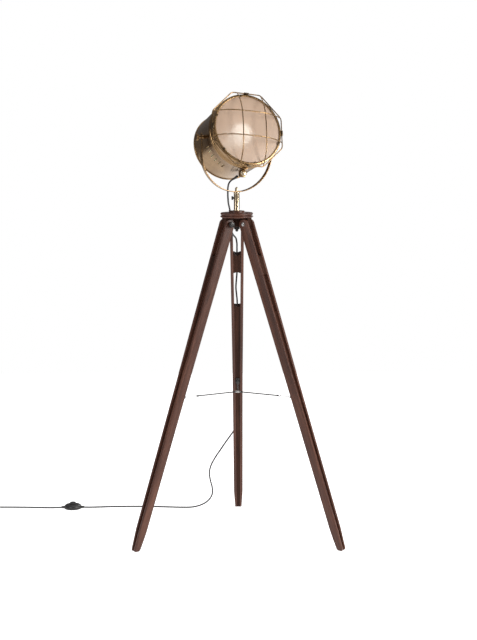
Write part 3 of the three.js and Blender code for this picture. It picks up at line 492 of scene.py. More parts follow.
# a shape becomes a mesh, and a mesh a piece on its body
def meshOf(name, shape, place, material, seed=0.0, sharp=38):
    build = bmesh.new()
    for point in shape[0]:
        build.verts.new(point)
    build.verts.ensure_lookup_table()
    for face in shape[1]:
        try:
            build.faces.new([build.verts[i] for i in face])
        except ValueError:
            pass
    bmesh.ops.remove_doubles(build, verts=build.verts, dist=0.0005)
    bmesh.ops.recalc_face_normals(build, faces=build.faces)
    mesh = bpy.data.meshes.new(name)
    build.to_mesh(mesh)
    build.free()
    grain = mesh.attributes.new("grainSpace", "FLOAT_VECTOR", "POINT")
    offset = Vector((0.37, 0.61, 0.83)) * seed
    for k, vertex in enumerate(mesh.vertices):
        grain.data[k].vector = vertex.co * mm + offset
    mesh.transform(place)
    for polygon in mesh.polygons:
        polygon.use_smooth = True
    mesh.set_sharp_from_angle(angle=math.radians(sharp))
    mesh.materials.append(finishes[material])
    return mesh


def piece(name, shape, place, material, body, stands=(), seed=0.0, sharp=38):
    made = bpy.data.objects.new(name, meshOf(name, shape, place, material, seed, sharp))
    bpy.context.scene.collection.objects.link(made)
    if body:
        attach(made, body)
    if stands:
        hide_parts(*([stands] if isinstance(stands, str) else stands))
    return made


# repeats, as node trees
def newTree(name, inputs):
    tree = bpy.data.node_groups.new(name, "GeometryNodeTree")
    tree.interface.new_socket("Geometry", in_out="INPUT", socket_type="NodeSocketGeometry")
    for label, kind, value in inputs:
        socket = tree.interface.new_socket(label, in_out="INPUT", socket_type=kind)
        if value is not None:
            socket.default_value = value
    tree.interface.new_socket("Geometry", in_out="OUTPUT", socket_type="NodeSocketGeometry")
    return tree, addNode(tree, "NodeGroupInput"), addNode(tree, "NodeGroupOutput")


def mathOf(tree, operation, first, second):
    return addNode(tree, "ShaderNodeMath", {0: first, 1: second}, operation=operation).outputs[0]


def finishTree(tree, given, out, placed):
    real = addNode(tree, "GeometryNodeRealizeInstances", {0: placed})
    coated = addNode(tree, "GeometryNodeSetMaterial", {
        "Geometry": real.outputs[0], "Material": given.outputs["Finish"],
    })
    tree.links.new(coated.outputs[0], out.inputs[0])


def ringTree():  # copies of the part, turned about the Y axis
    tree, given, out = newTree("ringOfParts", [
        ("Count", "NodeSocketInt", 8), ("First Angle", "NodeSocketFloat", 0.0),
        ("Angle Step", "NodeSocketFloat", 0.5), ("Finish", "NodeSocketMaterial", None),
    ])
    line = addNode(tree, "GeometryNodeMeshLine", {"Count": given.outputs["Count"], "Offset": (0, 0, 0)})
    index = addNode(tree, "GeometryNodeInputIndex").outputs[0]
    angle = mathOf(tree, "MULTIPLY", index, given.outputs["Angle Step"])
    angle = mathOf(tree, "ADD", angle, given.outputs["First Angle"])
    turn = addNode(tree, "ShaderNodeCombineXYZ", {"Y": angle})
    placed = addNode(tree, "GeometryNodeInstanceOnPoints", {
        "Points": line.outputs[0], "Instance": given.outputs["Geometry"], "Rotation": turn.outputs[0],
    })
    finishTree(tree, given, out, placed.outputs[0])
    return tree


def repeated(tree, part, values, material):  # runs a tree on a part and gives the result as a shape
    mesh = bpy.data.meshes.new("part")
    mesh.from_pydata([tuple(p) for p in part[0]], [], part[1])
    carrier = bpy.data.objects.new("carrier", mesh)
    bpy.context.scene.collection.objects.link(carrier)
    modifier = carrier.modifiers.new("repeat", "NODES")
    modifier.node_group = tree
    sockets = {s.name: s.identifier for s in tree.interface.items_tree if s.in_out == "INPUT"}
    for label, value in {**values, "Finish": finishes[material]}.items():
        modifier[sockets[label]] = value
    bpy.context.view_layer.update()
    result = bpy.data.meshes.new_from_object(carrier.evaluated_get(bpy.context.evaluated_depsgraph_get()))
    shape = [v.co.copy() for v in result.vertices], [list(p.vertices) for p in result.polygons]
    carrier.modifiers.remove(modifier)
    bpy.data.objects.remove(carrier)
    bpy.data.meshes.remove(result)
    return shape


ringOfParts = ringTree()


def ringOf(part, count, firstDegrees, stepDegrees, material):
    values = {
        "Count": count, "First Angle": math.radians(firstDegrees), "Angle Step": math.radians(stepDegrees),
    }
    return repeated(ringOfParts, part, values, material)


def smallScrew(radius, height):  # a small domed screw with a slot, standing on z = 0
    profile = filleted([
        (0, 0), (radius, 0), (radius, height * 0.45), (radius * 0.72, height), (0, height),
    ], 0.2)
    body = lathe(profile, 20)
    slot = roundedBox((radius * 1.5, radius * 0.24, 0.12), (0, 0, height + 0.02), 0.05, 1)
    return combined(body, slot)


# cords come first: the route's points are the model's own
cord = {
    "diameter": 5.5, "sides": 16, "headSplit": 30, "laid": 2.9, "coilTurns": 3.25, "coilRadius": 33.6,
    "coilAt": (-912, 351.4), "coilPitch": 5.6, "tuck": 3.4,
}
cordRadius = cord["diameter"] / 2
laid = cord["laid"]  # height of the lead's middle where it lies on the floor


def row(point):
    return stemPlace @ Vector(point)


def cordPiece(name, path, body, stands, sizes=None):
    shape = sweep(path, circle(cordRadius, cord["sides"]), sizes=sizes)
    return piece(name, shape, stemPlace, "blackPlastic", body, stands)


headRoute = smoothPath([
    (2.2, -28.3, 1225.6), (-5.6, -20, 1219.4), (-15.5, -10.5, 1213), (-24.5, -2, 1203),
    (-28.6, 3.4, 1189), (-29.4, 5.6, 1172), (-29, 5.4, 1152), (-27.4, 4, 1133),
    (-24.4, 1.6, 1120), (-22.3, 0.2, 1109), (-22, 0, 1101), (-22, 0, 1096),
], 6)
upperRoute, lowerRoute = headRoute[:cord["headSplit"] + 1], headRoute[cord["headSplit"]:]
headLeadUpper = cordPiece("headLeadUpper", upperRoute, None, "cord_head")
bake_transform(headLeadUpper)
headLeadLower = cordPiece("headLeadLower", lowerRoute, None, ())
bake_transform(headLeadLower)

legRoute = smoothPath([
    (-22, 0, 1095.6), (-22, 0, 1080), (-22, 0, 1060), (-20.6, 1.8, 1046), (-12, 15, 1028),
    rearLeg(-8, 3, 54), rearLeg(3, 0, 78), rearLeg(14.5, 0, 98), rearLeg(20.4, 0, 120),
    rearLeg(20.6, 0, 145), rearLeg(20, 0, 170), rearLeg(13, 0.6, 192), rearLeg(3, 2.6, 214),
    rearLeg(0, 4.2, 240), rearLeg(3.5, 2.4, 266), rearLeg(10, 0.6, 290), rearLeg(13.6, 0, 312),
    rearLeg(13, 0, 380), rearLeg(12.4, 0, 480), rearLeg(11.8, 0, 580), rearLeg(11.2, 0, 680),
    rearLeg(10.6, 0, 770),
], 5)
legLead = cordPiece("legLead", legRoute, None, "cord_leg")
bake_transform(legLead)

floorRoute = smoothPath([
    rearLeg(10.6, 0, 770.6), rearLeg(11.8, 0.6, 783), rearLeg(16, 3.6, 798), rearLeg(21, 12, 813),
    (-25, 317.5, 283), (-42, 325, 258), (-62, 333, 227), (-82, 340, 196), (-98, 345, 165),
    (-104.5, 348, 138), (-101.5, 350, 110), (-94.5, 352, 80), (-95.5, 354, 54), (-110, 357, 31),
    (-136, 361, 14), (-168, 366, 5), (-205, 371, laid), (-255, 377, laid), (-307, 383, laid),
    (-360, 387, laid), (-415, 388, laid), (-470, 385, laid), (-520, 379.5, 3.1), (-552, 375, 4),
    (-572, 373, 5),
], 5)
floorLead = cordPiece("floorLead", floorRoute, None, "cord_floor")
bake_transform(floorLead)


def smoothStep(t, low, high):
    t = min(max((t - low) / (high - low), 0), 1)
    return t * t * (3 - 2 * t)


coilX, coilY = cord["coilAt"]


def coilPoint(turns):  # outer and inner turns below, then inner and outer above, a diameter apart
    pitch = cord["coilPitch"]
    radius = cord["coilRadius"] + pitch / 2 - pitch * smoothStep(turns, 0.62, 0.9)
    radius += pitch * smoothStep(turns, 2.0, 2.3)
    radius -= pitch / 2 * smoothStep(turns, 3.0, 3.25)
    height = laid + cord["diameter"] * smoothStep(turns, 1.3, 1.62)
    height += cord["tuck"] * smoothStep(turns, 2.98, 3.2)
    angle = math.pi / 2 + 2 * math.pi * turns
    return (coilX + radius * math.cos(angle), coilY + radius * math.sin(angle), height)


plug = {"x": -945.6, "fromCoil": 27.8, "length": 36, "thickness": 13.6, "pinSpacing": 19, "lift": 0.1}
plugTop = coilY - plug["fromCoil"]
tailRoute = smoothPath([
    (-636, 373, 5), (-656, 373.2, 4), (-688, 374.6, laid), (-730, 378, laid), (-775, 382, laid),
    (-820, 384.8, laid), (-860, 386.2, laid), (-887, 387.3, laid),
] + [coilPoint(k / 16) for k in range(int(cord["coilTurns"] * 16) + 1)] + [
    (plug["x"], 343, 10.6), (plug["x"], 334, 8), (plug["x"], plugTop + 1, 6.9),
], 4)
tailLead = cordPiece("tailLead", tailRoute, "stand", ("cord_tail", "cord_coil"))

# foot switch: a domed round body with a waist line, and its button
switch = {
    "at": (-604, 373), "buttonRadius": 11, "buttonGap": 0.6, "knurls": 24,
    "reliefOut": 29.5, "reliefHeight": 5.4,
}
switchX, switchY = switch["at"]
well = switch["buttonRadius"] + switch["buttonGap"]
relief = lathe(filleted([
    (3, 0), (5.2, 0), (4.6, 4), (4.2, 9), (3.6, 12), (3, 12),
], 0.4, 2, True), 24, "x", True)
switchBody = piece("footSwitchBody", combined(
    shifted(lathe(filleted([
        (0, 0.1), (29.4, 0.1), (31.2, 1.4), (31.4, 5.4), (30.7, 5.7), (30.7, 6.3), (31.4, 6.6), (31.2, 9),
        (29.6, 12.6), (25.2, 15.8), (19.5, 17.7), (14.6, 18), (13.2, 17.2), (well, 17.2), (well, 9.5),
        (0, 9.5),
    ], 0.5, 2), 96), (switchX, switchY, 0)),
    shifted(relief, (switchX + switch["reliefOut"], switchY, switch["reliefHeight"])),
    shifted(moved(relief, Matrix.Rotation(math.pi, 4, "Z")),
            (switchX - switch["reliefOut"], switchY, switch["reliefHeight"])),
), stemPlace, "blackPlastic", "stand", "switch_body")
switchButton = piece("footSwitchButton", shifted(lathe(filleted([
    (0, 13.3), (11, 13.3), (11, 22.2), (10, 23.8), (8.4, 24.5), (7.4, 24.2), (0, 24.6),
], 0.7, 3), 72, shaped=knurled(switch["knurls"], 0.5, 14, 22.6)), (switchX, switchY, 0)),
    stemPlace, "blackPlastic", "switch_button", "switch_button")

# two-pin plug beside the coil
plugPlace = stemPlace @ Matrix.Translation((plug["x"], plugTop, plug["lift"] + plug["thickness"] / 2))


def plugSection(along, halfWidth, halfThickness):
    return [(x, -along, z) for x, z in
            roundedRectangle(-halfWidth, halfWidth, -halfThickness, halfThickness, halfThickness * 0.72, 5)]


plugStations = [  # distance along, half width, half thickness
    (0, 4.1, 3.9), (0.6, 4.7, 4.6), (3, 5.0, 5.0), (7, 6.4, 5.8), (12, 9.4, 6.5), (17, 12, 6.75),
    (21, 12.9, 6.8), (24, 12.4, 6.5), (25, 12.4, 6.5), (28, 12.9, 6.8), (34.4, 12.9, 6.8),
    (35.6, 12.4, 6.3), (36, 11.6, 5.6),
]
pinProfile = filleted([
    (0, 0), (1.9, 0), (1.9, -10), (2.0, -10.2), (2.0, -17.6), (1.2, -19), (0, -19),
], 0.3, 3)
plugBody = piece("plugBody", loft([plugSection(*station) for station in plugStations]),
                 plugPlace, "blackPlastic", "stand", "plug")
plugPins = piece("plugPins", combined(*[
    shifted(lathe(pinProfile, 24, "y"), (side * plug["pinSpacing"] / 2, -plug["length"] + 0.4, 0))
    for side in (-1, 1)
]), plugPlace, "steel", "stand")
tie = {"across": 7.6, "tall": 7.4, "centre": 6.4}
coilTie = piece("coilTie", shifted(sweep(
    [(tie["across"] * math.cos(a), 0, tie["tall"] * math.sin(a))
     for a in (2 * math.pi * k / 32 for k in range(32))],
    roundedRectangle(-0.7, 0.7, -2.2, 2.2, 0.3, 1), True, side=(1, 0, 0),
), (coilX + cord["coilRadius"], coilY, tie["centre"])), stemPlace, "blackPlastic", "stand")

print("cords laid")

# legs: two rails, a block and a tongue each
leg = {
    "width": [(0, 48), (549, 36), (legLength - 72, 32), (legLength, 23.5)],
    "depth": [(0, 33), (legLength - 72, 26.6), (legLength, 22)],
    "thickness": [(0, 10), (legLength - 72, 10), (legLength, 7)],
    "edgeRound": 1.9, "recess": 1.2, "groove": 7.2, "gap": 0.3, "seam": 0.02,
    "blockFrom": 111, "blockTo": 179, "tongueFrom": 305, "tongueTo": legLength - 5,
}


def along(table, s):
    s = max(s, 0)
    for (s0, v0), (s1, v1) in zip(table, table[1:]):
        if s <= s1 or (s1, v1) == table[-1]:
            return v0 + (v1 - v0) * (s - s0) / (s1 - s0)


def outerHalf(s):
    return along(leg["width"], s) / 2


def innerHalf(s):
    return outerHalf(s) - along(leg["thickness"], s)


def halfDepth(s):
    return along(leg["depth"], s) / 2


def rail(side):
    top = leg["depth"][0][1] / 2
    stations = []
    for degrees in range(86, 0, -6):
        angle = math.radians(degrees)
        stations.append((-top * math.sin(angle), top * math.cos(angle), 0))
    stations += [(s, halfDepth(s), 0) for s in (0, 150, 300, 549, 700, 860, legLength - 72, legLength - 40)]
    for lift, rounding in ((10, 0.2), (5, 0.8), (2, 2.2), (0.6, 3.8), (0, 5)):
        s = legLength - lift / math.cos(lean)
        stations.append((s, halfDepth(s) - rounding, 1))
    sections = []
    for s, half, level in stations:
        ends = (innerHalf(s), outerHalf(s)) if side > 0 else (-outerHalf(s), -innerHalf(s))
        outline = roundedRectangle(-half, half, *ends, leg["edgeRound"], 3)
        sections.append([(x, y, -s - level * x * math.tan(lean)) for x, y in outline])
    return loft(sections)


def filler(top, bottom, outerRecess, topRound, bottomRound):  # ends hollowed by round cutters
    columns, rows = 17, 24
    front, back = [], []
    for r in range(rows + 1):
        for c in range(columns):
            share = 2 * c / (columns - 1) - 1
            high, low = top, bottom
            if topRound:
                radius = innerHalf(topRound)
                inward = math.sqrt(max(radius ** 2 - (share * innerHalf(top)) ** 2, 0))
                high = max(top, topRound + inward)
            if bottomRound:
                radius = innerHalf(bottomRound)
                inward = math.sqrt(max(radius ** 2 - (share * innerHalf(bottom)) ** 2, 0))
                low = min(bottom, bottomRound - inward)
            s = high + (low - high) * r / rows
            y = share * (innerHalf(s) - leg["seam"])
            front.append((halfDepth(s) - outerRecess, y, -s))
            back.append((-halfDepth(s) + leg["recess"], y, -s))
    points, faces = front + back, []
    base = len(front)
    cell = lambda r, c: r * columns + c
    for r in range(rows):
        for c in range(columns - 1):
            a, b, d, e = cell(r, c), cell(r, c + 1), cell(r + 1, c + 1), cell(r + 1, c)
            faces += [[a, b, d, e], [base + e, base + d, base + b, base + a]]
        for c in (0, columns - 1):
            a, b = cell(r, c), cell(r + 1, c)
            faces.append([a, b, base + b, base + a])
    for c in range(columns - 1):
        for r in (0, rows):
            a, b = cell(r, c), cell(r, c + 1)
            faces.append([a, b, base + b, base + a])
    return points, faces


def faceStation(height):
    s = (lamp["pivotHeight"] - height) / math.cos(lean)
    for _ in range(4):
        s = (lamp["pivotHeight"] - height - halfDepth(s) * math.sin(lean)) / math.cos(lean)
    return s


pivotHardware = {"knobLength": 13, "knurls": 30, "nut": 5.7}
eye = {"height": 498, "width": 13, "tall": 22, "thick": 2.5, "radius": 4.6, "wire": 1.4}
eyeStation = faceStation(eye["height"])
eyeFace = -halfDepth(eyeStation) + leg["recess"]
eyeTurn = eyeFace - leg["gap"] - eye["thick"] - eye["radius"]
eyeReach = lamp["pivotRadius"] + eyeTurn * math.cos(lean) + eyeStation * math.sin(lean)


def legKnob():
    inner = outerHalf(0) + 0.3
    top = inner + pivotHardware["knobLength"]
    profile = filleted([
        (4.3, inner), (7, inner), (7, inner + 3.2), (8.9, inner + 3.7), (9.8, inner + 4.8), (9.8, top - 1.8),
        (8.6, top - 0.3), (0, top + 0.6),
    ], 0.5, 2)
    body = lathe(profile, 120, "y", shaped=knurled(pivotHardware["knurls"], 0.55, inner + 4.2, top - 1.2))
    slotBar = roundedBox((13, 0.7, 1.5), (0, top + 0.55, 0), 0.2, 1)
    return combined(body, slotBar)


def legBolt():
    face = -outerHalf(0) - 0.3
    washer = lathe(filleted([
        (3.8, face), (6, face), (6, face - 1.6), (3.8, face - 2),
    ], 0.3, 2, True), 48, "y", True)
    end = lathe(filleted([
        (0, face + 3), (3.4, face + 3), (3.4, face - 5.4), (2.6, face - 6.3), (0, face - 6.4),
    ], 0.5, 3), 40, "y")
    nut = lathe(filleted([
        (3.4, face - 1.9), (5.6, face - 1.9), (5.6, face - 4.1), (3.4, face - 4.4),
    ], 0.25, 2, True), 60, "y", True, hexagonal(-99, 99, pivotHardware["nut"]))
    return combined(washer, end, nut)


def screwEye():
    plateX = eyeFace - leg["gap"] - eye["thick"] / 2
    outline = roundedRectangle(-eye["width"] / 2, eye["width"] / 2, -eye["tall"] / 2, eye["tall"] / 2, 3, 5)
    plate = loft([[(x, y * k, z * k) for y, z in outline] for x, k in (
        (-1.25, 0.94), (-0.95, 0.99), (-0.6, 1), (0.9, 1), (1.25, 0.99))])
    plate = shifted(plate, (plateX, 0, -eyeStation))
    ringPath = [(eye["radius"] * math.cos(a), 0, eye["radius"] * math.sin(a))
                for a in (2 * math.pi * k / 40 for k in range(40))]
    loop = sweep(ringPath, circle(eye["wire"], 14), True)
    loop = moved(loop, Matrix.Translation((eyeTurn, 0, -eyeStation)) @ Matrix.Rotation(math.pi / 2, 4, "X"))
    level = Matrix.Translation((eyeTurn, 0, -eyeStation)) @ Matrix.Rotation(lean, 4, "Y") @ \
        Matrix.Translation((-eyeTurn, 0, eyeStation))
    screws = [moved(smallScrew(1.9, 0.9), Matrix.Translation((plateX - 1.1, 0, -eyeStation + up)) @
                    Matrix.Rotation(-math.pi / 2, 4, "Y")) for up in (-8, 8)]
    return combined(plate, moved(loop, level), *screws)


for n in (1, 2, 3):
    place, body = legPlace(n), f"leg_{n}"
    piece(f"leg{n}RailA", rail(1), place, "walnut", body, f"leg_{n}_rail_a", seed=n * 2.1)
    piece(f"leg{n}RailB", rail(-1), place, "walnut", body, f"leg_{n}_rail_b", seed=n * 2.1 + 1.3)
    # blocks and tongues take the darker walnut, which is painted shade for their recesses
    block = filler(leg["blockFrom"], leg["blockTo"], leg["recess"], 102, 188)
    piece(f"leg{n}Block", block, place, "walnutPaintedShade", body, f"leg_{n}_block", seed=n + 0.4)
    tongue = filler(leg["tongueFrom"], leg["tongueTo"], leg["groove"], 296, None)
    piece(f"leg{n}Tongue", tongue, place, "walnutPaintedShade", body, f"leg_{n}_tongue", seed=n + 0.7)
    piece(f"leg{n}Bolt", legBolt(), place, "steel", body, f"leg_{n}_bolt")
    piece(f"leg{n}Knob", legKnob(), place, "blackMetal", f"leg_{n}_knob", f"leg_{n}_knob")
    piece(f"leg{n}Eye", screwEye(), place, "blackMetal", body, f"leg_{n}_eye")
print("legs made")

# hub: turned cap over a three-armed block
hub = {
    "capRadius": 54.5, "capBottom": 1088, "capTop": 1104, "boss": 26.5, "bossHeight": 6,
    "core": 24, "blockBottom": 1058, "tongueWidth": 26.8, "tongueTip": 49, "tipRound": 5, "leadHole": -22,
}
capRadius, capBottom, capTop = hub["capRadius"], hub["capBottom"], hub["capTop"]
capShape = lathe(filleted([
    (5.4, capBottom), (capRadius - 2, capBottom), (capRadius - 0.2, capBottom + 1.2),
    (capRadius + 0.5, capBottom + 3.4), (capRadius - 0.4, capBottom + 5.6), (capRadius - 3, capBottom + 6.4),
    (capRadius - 3.4, capBottom + 8.4), (capRadius - 1.2, capBottom + 9.6), (capRadius, capBottom + 12),
    (capRadius - 0.3, capTop - 1.6), (capRadius - 2, capTop), (hub["boss"] + 1, capTop),
    (hub["boss"], capTop + 0.7), (hub["boss"] - 0.8, capTop + hub["bossHeight"]),
    (5.4, capTop + hub["bossHeight"]),
], 1.1, 4, True), 128, "z", True)
piece("hubCap", capShape, stemPlace, "walnut", "stand", "hub_cap", seed=0.2)


def looseObjects(shapes, name):
    objects = []
    for k, shape in enumerate(shapes):
        mesh = bpy.data.meshes.new(f"{name}{k}")
        build = bmesh.new()
        for point in shape[0]:
            build.verts.new(point)
        build.verts.ensure_lookup_table()
        for face in shape[1]:
            build.faces.new([build.verts[i] for i in face])
        bmesh.ops.recalc_face_normals(build, faces=build.faces)
        build.to_mesh(mesh)
        build.free()
        made = bpy.data.objects.new(mesh.name, mesh)
        bpy.context.scene.collection.objects.link(made)
        objects.append(made)
    return objects


def booleanOf(shapes, name, operation="UNION"):  # one closed shell from overlapping closed shapes
    objects = looseObjects(shapes, name)
    for other in objects[1:]:
        modifier = objects[0].modifiers.new("join", "BOOLEAN")
        modifier.operation = operation
        modifier.solver = "EXACT"
        modifier.object = other
    bpy.context.view_layer.update()
    result = bpy.data.meshes.new_from_object(objects[0].evaluated_get(bpy.context.evaluated_depsgraph_get()))
    shape = [v.co.copy() for v in result.vertices], [list(p.vertices) for p in result.polygons]
    for made in objects:
        bpy.data.objects.remove(made)
    bpy.data.meshes.remove(result)
    return shape


def hubArm(degrees):
    tip, bottom, top, half = hub["tongueTip"], hub["blockBottom"], capBottom - 0.3, hub["tongueWidth"] / 2
    corner = hub["tipRound"]
    outline = [(2, bottom), (tip - corner, bottom)]
    outline += [(tip - corner + corner * math.sin(a), bottom + corner - corner * math.cos(a))
                for a in (math.radians(15 * k) for k in range(1, 7))]
    outline += [(tip, top), (2, top)]
    sections = [[(x, side, z) for x, z in outline] for side in (-half, half)]
    return moved(loft(sections), Matrix.Rotation(math.radians(degrees), 4, "Z"))


hubCore = lathe([
    (0, hub["blockBottom"]), (hub["core"] - 1.5, hub["blockBottom"]), (hub["core"], hub["blockBottom"] + 1.5),
    (hub["core"], capBottom - 0.3), (0, capBottom - 0.3),
], 72)
hubShape = booleanOf([hubCore, hubArm(210), hubArm(330), hubArm(90)], "hub")
# the hub block takes the darker walnut, which is painted shade under the cap
piece("hubBlock", hubShape, stemPlace, "walnutPaintedShade", "stand", "hub_block", seed=3.3)

nutTop = hub["blockBottom"] - 0.3
piece("hubBolt", combined(
    lathe(filleted([
        (0, 1040), (2.6, 1040.4), (4.2, 1041.8), (5, 1044), (5, nutTop - 1), (0, nutTop - 1),
    ], 0.6, 3), 48),
    lathe(filleted([
        (4.9, nutTop - 9.6), (9.4, nutTop - 9.6), (9.4, nutTop - 2), (4.9, nutTop - 2),
    ], 0.6, 3, True), 96, closed=True, shaped=hexagonal(0, 2000, 9.6)),
    lathe(filleted([(4.9, nutTop - 1.9), (10.8, nutTop - 1.9), (10.8, nutTop), (4.9, nutTop)], 0.4, 2, True),
          72, closed=True),
), stemPlace, "blackMetal", "stand", "hub_bolt")
piece("hubGrommet", shifted(lathe(filleted([
    (3, 0), (5.6, 0), (5.2, 1.4), (3.9, 2.4), (3, 2.4),
], 0.5, 3, True), 40, closed=True), (hub["leadHole"], 0, capTop + hub["bossHeight"] - 0.6)),
    stemPlace, "blackPlastic", "stand")

# spreader: a ring, three rods and their links
spreader = {
    "height": 498, "ring": 9, "wire": 2, "rodFrom": 11.6, "rodReach": 157, "hook": 3.2, "hookWire": 0.9,
}
ringPath = [(spreader["ring"] * math.cos(a), spreader["ring"] * math.sin(a), spreader["height"])
            for a in (2 * math.pi * k / 64 for k in range(64))]
piece("spreaderRing", sweep(ringPath, circle(spreader["wire"], 18), True), stemPlace, "steel", "stand",
      "spreader_ring")
for n, degrees in ((1, 210), (2, 330), (3, 90)):
    centre = stemPlace @ Matrix.Translation((0, 0, spreader["height"]))
    arm = centre @ Matrix.Rotation(math.radians(degrees), 4, "Z")
    low, high, bend = spreader["rodFrom"], spreader["rodReach"], spreader["hook"]
    rod = lathe(filleted([
        (0, low), (2.8, low), (2.8, low + 5), (2, low + 6.5), (2, high - 7), (2.8, high - 5), (2.8, high),
        (0, high),
    ], 0.4, 3), 32, "x")
    made = piece(f"spreaderRod{n}", rod, arm, "blackMetal", None, f"spreader_rod_{n}")
    linkEnd = eyeReach - eye["radius"] - eye["wire"]
    hooks = [sweep([
        (x + bend * math.cos(t), 0, bend * math.sin(t)) for t in (2 * math.pi * k / 24 for k in range(24))
    ], circle(spreader["hookWire"], 10), True) for x in (high + 3.4, linkEnd - 2.2)]
    link = combined(lathe([
        (0, high + 6), (1.1, high + 6), (1.1, linkEnd - 5), (0, linkEnd - 5),
    ], 20, "x"), *hooks)
    linkMade = piece(f"spreaderLink{n}", link, arm, "steel", None, f"spreader_link_{n}")
    for bent in (made, linkMade):
        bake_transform(bent)
print("hub and spreader made")

# stem and swivel
stem = {"bottom": 1110.3, "top": 1171.3, "screwAt": 1152.3, "screwKnurls": 24}
bottom, top = stem["bottom"], stem["top"]
piece("stemTube", lathe(filleted([
    (6.5, bottom), (10.7, bottom), (10.7, bottom + 2.5), (9.5, bottom + 3.5), (9.5, top - 3),
    (10.1, top - 2.4), (10.1, top), (6.5, top),
], 0.5, 3, True), 96, closed=True), stemPlace, "paleBrass", "stand", "stem_tube")
piece("stemThumbscrew", shifted(lathe(filleted([
    (0, -17.3), (5.4, -17.3), (6.3, -16.2), (6.3, -12.4), (5.6, -12), (3.6, -11.8), (3.6, -9.8), (2.3, -9.8),
    (2.3, -6.6), (0, -6.6),
], 0.35, 2), 96, "x", shaped=knurled(stem["screwKnurls"], 0.5, -17, -12.2)), (0, 0, stem["screwAt"])),
    stemPlace, "blackMetal", "stem_thumbscrew", "stem_thumbscrew")

yoke = {"radius": 128, "arm": 55, "horn": 13.5, "width": 15.5, "thickness": 3, "knurls": 36}
strapLow = stem["top"] + 0.3 - pivotZ
strapTop = strapLow + yoke["thickness"]
piece("panSpigot", lathe(filleted([
    (0, strapLow - 47.3), (5.3, strapLow - 47.3), (6.1, strapLow - 46.3), (6.1, strapLow - 0.3),
    (3.8, strapLow - 0.3), (3.8, strapTop + 8), (0, strapTop + 8),
], 0.3, 2), 48), yokePlace, "steel", "yoke", "pan_spigot")
nutLow, nutHigh = strapTop + 0.3, strapTop + 7
piece("acornNut", combined(
    lathe(filleted([
        (4.2, nutLow), (5.75, nutLow), (5.75, nutHigh), (5.05, nutHigh + 2.6), (3.35, nutHigh + 5.6),
        (1.4, nutHigh + 7.2), (0, nutHigh + 7.6),
    ], 0.9, 4), 96, shaped=hexagonal(nutLow - 1, nutHigh - 0.2, 6)),
    lathe(filleted([(3.9, nutLow), (4.2, nutLow), (4.2, nutLow + 7), (0, nutLow + 7)], 0.1, 1), 48),
), yokePlace, "paleBrass", "yoke", "acorn_nut")


def yokeStrap():
    half, arm, radius = yoke["width"] / 2, yoke["arm"], yoke["radius"]
    hornZ = yoke["horn"] - half
    stations = []  # place of the middle of the strap, direction outwards, half width
    for degrees in range(85, 0, -7):
        a = math.radians(degrees)
        stations.append(((radius, hornZ + half * math.sin(a)), (1, 0), half * math.cos(a)))
    for k in range(6):
        stations.append(((radius, hornZ - (arm + hornZ) * k / 6), (1, 0), half))
    for k in range(65):
        a = -math.pi * k / 64
        c, s = math.cos(a), math.sin(a)
        stations.append(((radius * c, -arm + radius * s), (c, s), half))
    mirrored = [((-x, z), (-dx, dz), h) for (x, z), (dx, dz), h in stations[:19]][::-1]
    stations += mirrored
    sections = []
    for (x, z), (dx, dz), h in stations:
        outline = roundedRectangle(-yoke["thickness"] / 2, yoke["thickness"] / 2, -h, h, 0.8, 3)
        sections.append([(x + dx * a, b, z + dz * a) for a, b in outline])
    return loft(sections)


piece("yokeStrap", yokeStrap(), yokePlace, "antiqueBrass", "yoke", "yoke", sharp=50)

armFace = yoke["radius"] + yoke["thickness"] / 2 + 0.3
for side, label in ((1, "right"), (-1, "left")):
    face = armFace + 9
    knob = lathe(filleted([
        (0, 119.3), (3.5, 119.3), (3.5, armFace), (7.4, armFace), (7.4, armFace + 1.2), (5.5, armFace + 1.5),
        (5.5, armFace + 3), (4.3, armFace + 3.6), (4.3, face), (10.2, face), (11, face + 1), (11, face + 7),
        (10, face + 8), (7.5, face + 8.1), (6.8, face + 7.6), (0, face + 8),
    ], 0.35, 2), 144, "x", shaped=knurled(yoke["knurls"], 0.5, face + 0.9, face + 7.1))
    bush = lathe(filleted([
        (0, 116), (6.5, 116), (6.5, 126.2), (3.9, 126.2), (3.9, 119), (0, 119),
    ], 0.3, 2), 48, "x")
    flip = Matrix.Identity(4) if side > 0 else Matrix.Rotation(math.pi, 4, "Z")
    name = label.capitalize()
    piece(f"tiltKnob{name}", moved(knob, flip), yokePlace, "antiqueBrass", f"tilt_knob_{label}",
          f"tilt_knob_{label}")
    piece(f"tiltBush{name}", moved(bush, flip), headPlace, "antiqueBrass", "head",
          f"tilt_bush_{label}")
print("stem and yoke made")

# drum: a spun shell with two rolled beads and a row of vents low on each side
drum = {
    "middle": 115.5, "frontRadius": 118.2, "rearRadius": 111.2, "bead": 2.6, "wall": 1.6, "vents": 6,
    "ventLength": 25, "ventWidth": 4.4, "ventStep": 8, "ventCentre": 35, "ventAt": 2, "capScrews": 6,
}
frontRadius, rearRadius, middle, bead, wall = (
    drum["frontRadius"], drum["rearRadius"], drum["middle"], drum["bead"], drum["wall"])


def beadArc(radius, size, low, high, steps=8):  # a rolled half-round bead
    centre, half = (low + high) / 2, (high - low) / 2
    return [(radius + size * math.sin(math.pi * k / steps), centre - half * math.cos(math.pi * k / steps))
            for k in range(steps + 1)]


